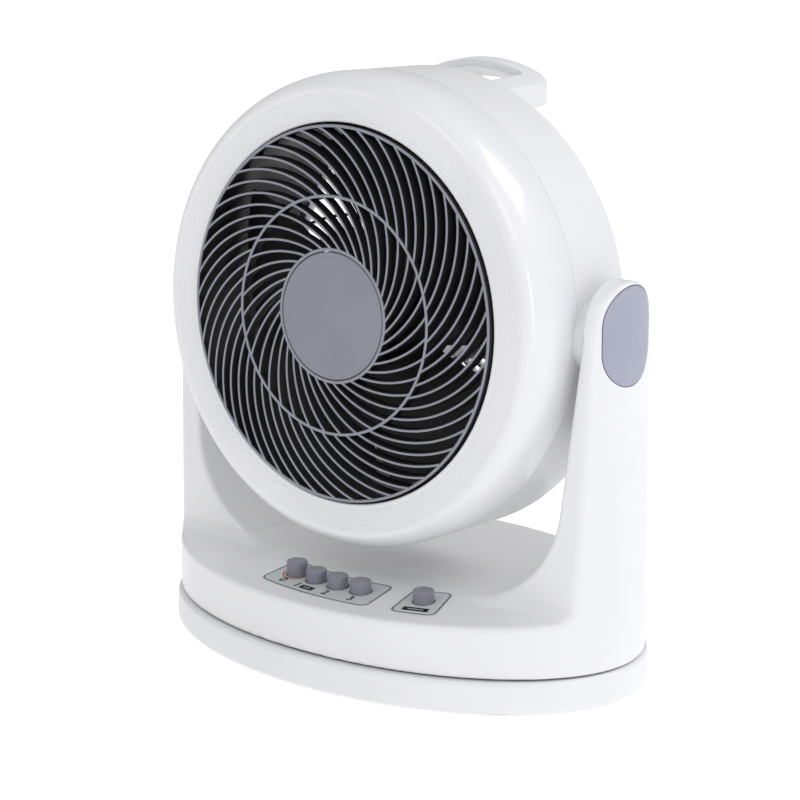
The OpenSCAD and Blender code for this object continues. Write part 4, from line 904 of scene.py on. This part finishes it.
def print_strip(name, path, width, height, material, closed=True):
    """A strip of that width along a path on the film: path +- width / 2 along the path's normal, height
    thick."""
    step = np.roll(path, -1, 0) - np.roll(path, 1, 0)
    if not closed:
        step[0], step[-1] = path[1] - path[0], path[-1] - path[-2]
    normal = np.stack([-step[:, 1], step[:, 0]], -1) / np.hypot(*step.T)[:, None]
    rows = []
    for across, level in ((-0.5, 0.0), (-0.5, height), (0.5, height), (0.5, 0.0)):
        p = path + across * width * normal
        rows.append(np.stack([p[:, 0], p[:, 1], panel_height(p[:, 1]) + FILM_TOP - 0.01 + level], -1))
    grid = np.stack(rows, 1)
    quads = grid_quads(len(path), 4, closed, True)
    if not closed:
        quads = np.concatenate([quads, band_ends(len(path), 4)])
    piece = new_piece(name, grid, outward(grid, quads), "yoke", "panel_print", (), 40)
    piece.data.materials.append(material)


OFF_RING_R = 9.2
print_strip("speed_panel_line", panel_outline(-51.9, 35.5), 1.3, 0.06, line_grey)
print_strip("swing_panel_line", panel_outline(51.7, 78.3), 1.3, 0.06, line_grey)
ring_turn = np.radians(np.linspace(0, 360, KEY_SEGMENTS, endpoint=False))
ring_way = np.stack([np.cos(ring_turn), np.sin(ring_turn)], -1)
off_middle = [BUTTON_X[0], float(row_at(BUTTON_X[0]))]
print_strip("off_key_ring", off_middle + OFF_RING_R * ring_way, 1.1, 0.05, ink_red)
# black rings over the slot round each key: painted shade of the gap
for k, bx in enumerate(BUTTON_X):
    print_strip(f"key_slot_painted_shade_{k}", [bx, float(row_at(bx))] + (BUTTON_R + 0.35) * ring_way, 0.55, 0.03, ink_black)

# %% [markdown]
# ## Numbers and boxes
# Blender's own text objects give clean digits. A text is made a mesh first and only
# then laid on the film, because the film slopes and the row bends. Its front, back
# and rim come as loose sheets, so points in one place are merged into a closed
# body. The small dark boxes hold a plain dash where a word would be printed.

# %% Numbers and label boxes
NUMBER_SIZE, NUMBER_BACK, BOX_H, DASH_H = 9.0, -13.2, 0.05, 0.09


def printed_text(name, body, x, y):
    """A number as a closed mesh, turned with the row and laid on the film at (x, y)."""
    curve = bpy.data.curves.new(name, "FONT")
    curve.body, curve.size, curve.extrude, curve.offset = body, NUMBER_SIZE * MM, 0.00002, 0.00022
    curve.align_x, curve.align_y = "CENTER", "CENTER"
    source = bpy.data.objects.new(name + "_source", curve)
    bpy.context.scene.collection.objects.link(source)
    bpy.context.view_layer.update()
    mesh = bpy.data.meshes.new_from_object(source.evaluated_get(bpy.context.evaluated_depsgraph_get()))
    bpy.data.objects.remove(source)
    sheets = bmesh.new()
    sheets.from_mesh(mesh)
    bmesh.ops.remove_doubles(sheets, verts=sheets.verts, dist=0.001 * MM)
    bmesh.ops.recalc_face_normals(sheets, faces=sheets.faces)
    sheets.to_mesh(mesh)
    sheets.free()
    co = np.zeros(len(mesh.vertices) * 3)
    mesh.vertices.foreach_get("co", co)
    co = co.reshape(-1, 3) / MM
    turn = math.asin(x / ROW_R)
    px = x + co[:, 0] * math.cos(turn) - co[:, 1] * math.sin(turn)
    py = y + co[:, 0] * math.sin(turn) + co[:, 1] * math.cos(turn)
    place = np.stack([px, py, panel_height(py) + FILM_TOP + 0.03 + co[:, 2]], -1) * MM
    mesh.vertices.foreach_set("co", place.astype(np.float32).ravel())
    mesh.name = name
    mesh.materials.clear()
    mesh.materials.append(ink_black)
    mesh.update()
    piece = bpy.data.objects.new(name, mesh)
    bpy.context.scene.collection.objects.link(piece)
    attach(piece, "yoke")
    print(f"{name}: {len(mesh.vertices)} points")


def label_box(name, x, back, width, depth):
    """A filled box with rounded corners on the film: a closed strip as wide as the box is deep."""
    turn = math.asin(x / ROW_R)
    along = np.linspace(-width / 2, width / 2, 9)
    path = panel_point(np.array(x), back) + np.stack([along * math.cos(turn), along * math.sin(turn)], -1)
    print_strip(name, path, depth, BOX_H, ink_black, closed=False)


for text, bx, shift in zip("0123", BUTTON_X, (-1.0, -5.6, 0.0, 1.0)):
    place = panel_point(np.array(bx + shift), NUMBER_BACK)
    printed_text(f"number_{text}", text, float(place[0]), float(place[1]))
LABELS = [("speed", BUTTON_X[1] + 3.2, -13.4, 11.0, 5.4, 3.0),
          ("swing", BUTTON_X[4] + 0.2, -13.6, 17.5, 5.6, 5.4)]
for name, x, back, width, depth, _ in LABELS:
    label_box(f"label_box_{name}", x, back, width, depth)
for name, x, back, _, _, half in LABELS:
    lean = math.asin(x / ROW_R)
    along = np.array([[math.cos(lean), math.sin(lean)]])
    dash = panel_point(np.array(x), back) + np.linspace(-half, half, 5)[:, None] * along
    print_strip(f"{name}_dash", dash, 0.9, DASH_H, ink_white, closed=False)

# %% [markdown]
# ## Floor
# The fan stands on a pale floor. A little light of its own keeps the floor as even as
# a studio's paper sweep. The camera sees more of that light than the fan gets, so
# the floor is white and the underside of the fan isn't lit too much.

# %% Floor
FLOOR_HALF, GLOW_ON_FAN, GLOW_SEEN = 6, 0.33, 0.52
floor_mesh = bpy.data.meshes.new("floor")
corners = [(FLOOR_HALF * x, FLOOR_HALF * y, 0) for x, y in ((-1, -1), (1, -1), (1, 1), (-1, 1))]
floor_mesh.from_pydata(corners, [], [(0, 1, 2, 3)])
floor = bpy.data.objects.new("floor", floor_mesh)
bpy.context.scene.collection.objects.link(floor)
floor_paint = finish("floor_paint", (0.90, 0.90, 0.905), (0.915, 0.915, 0.92), (0.65, 0.75), 0.02, 80)
floor_shader = floor_paint.node_tree.nodes["Principled BSDF"]
set_sockets(floor_shader, Emission_Color=(1, 1, 1, 1))
floor_nodes, floor_links = floor_paint.node_tree.nodes, floor_paint.node_tree.links
floor_ray = floor_nodes.new("ShaderNodeLightPath")
floor_glow = floor_nodes.new("ShaderNodeMapRange")
set_sockets(floor_glow, To_Min=GLOW_ON_FAN, To_Max=GLOW_SEEN)
floor_links.new(floor_ray.outputs["Is Camera Ray"], floor_glow.inputs["Value"])
floor_links.new(floor_glow.outputs["Result"], floor_shader.inputs["Emission Strength"])
floor.data.materials.append(floor_paint)
print("floor:", 2 * FLOOR_HALF, "m wide")

# %% [markdown]
# ## World and lights
# The studio is bright and even. Large soft lights above the right and the front give
# the drum its clean highlights; the left stays a little darker, so that the round
# shapes read. The world is a soft gradient from left to right, and where the camera
# sees it the background stays plain.

# %% World and lights
SKY_LEFT, SKY_RIGHT, SKY_SEEN, LIGHT_TINT = 0.52, 0.68, 1.3, (0.91, 0.915, 1.0)
world = bpy.data.worlds.new("studio")
bpy.context.scene.world = world
world.use_nodes = True
nodes, links = world.node_tree.nodes, world.node_tree.links
sky = nodes["Background"]
coords = nodes.new("ShaderNodeTexCoord")
split = nodes.new("ShaderNodeSeparateXYZ")
blend = nodes.new("ShaderNodeMapRange")
set_sockets(blend, From_Min=-0.8, From_Max=0.8, To_Min=SKY_LEFT, To_Max=SKY_RIGHT)
links.new(coords.outputs["Generated"], split.inputs["Vector"])
links.new(split.outputs["X"], blend.inputs["Value"])
seen = nodes.new("ShaderNodeLightPath")
choose = nodes.new("ShaderNodeMix")
choose.data_type = "FLOAT"
links.new(seen.outputs["Is Camera Ray"], choose.inputs["Factor"])
links.new(blend.outputs["Result"], choose.inputs["A"])
choose.inputs["B"].default_value = SKY_SEEN
links.new(choose.outputs["Result"], sky.inputs["Strength"])
set_sockets(sky, Color=(1, 1, 1, 1))


def soft_light(name, place, aim, size, power, height=None):
    """An area light at place that looks at aim, of that width and height."""
    data = bpy.data.lights.new(name, "AREA")
    data.shape, data.size, data.size_y = "RECTANGLE", size, height or size
    data.energy, data.color = power, LIGHT_TINT
    light = bpy.data.objects.new(name, data)
    light.location = place
    direction = np.subtract(aim, place)
    light.rotation_euler = (math.acos(-direction[2] / np.linalg.norm(direction)), 0,
                            math.atan2(direction[1], direction[0]) - math.pi / 2)
    bpy.context.scene.collection.objects.link(light)
    print(f"light {name}: {power} W, {data.size:.2f} x {data.size_y:.2f} m")


soft_light("key", (1.6, -0.9, 1.9), (0, 0, 0.2), 1.1, 6.5)
soft_light("fill", (-0.3, -1.7, 1.9), (0, 0, 0.2), 1.1, 8.5)
soft_light("back", (1.3, 1.2, 2.2), (0, 0, 0.3), 1.2, 16)
soft_light("strip", (1.75, -0.30, 0.50), (0.1, 0, 0.3), 0.10, 2.2, 0.7)
bpy.context.scene.view_settings.view_transform = "Standard"
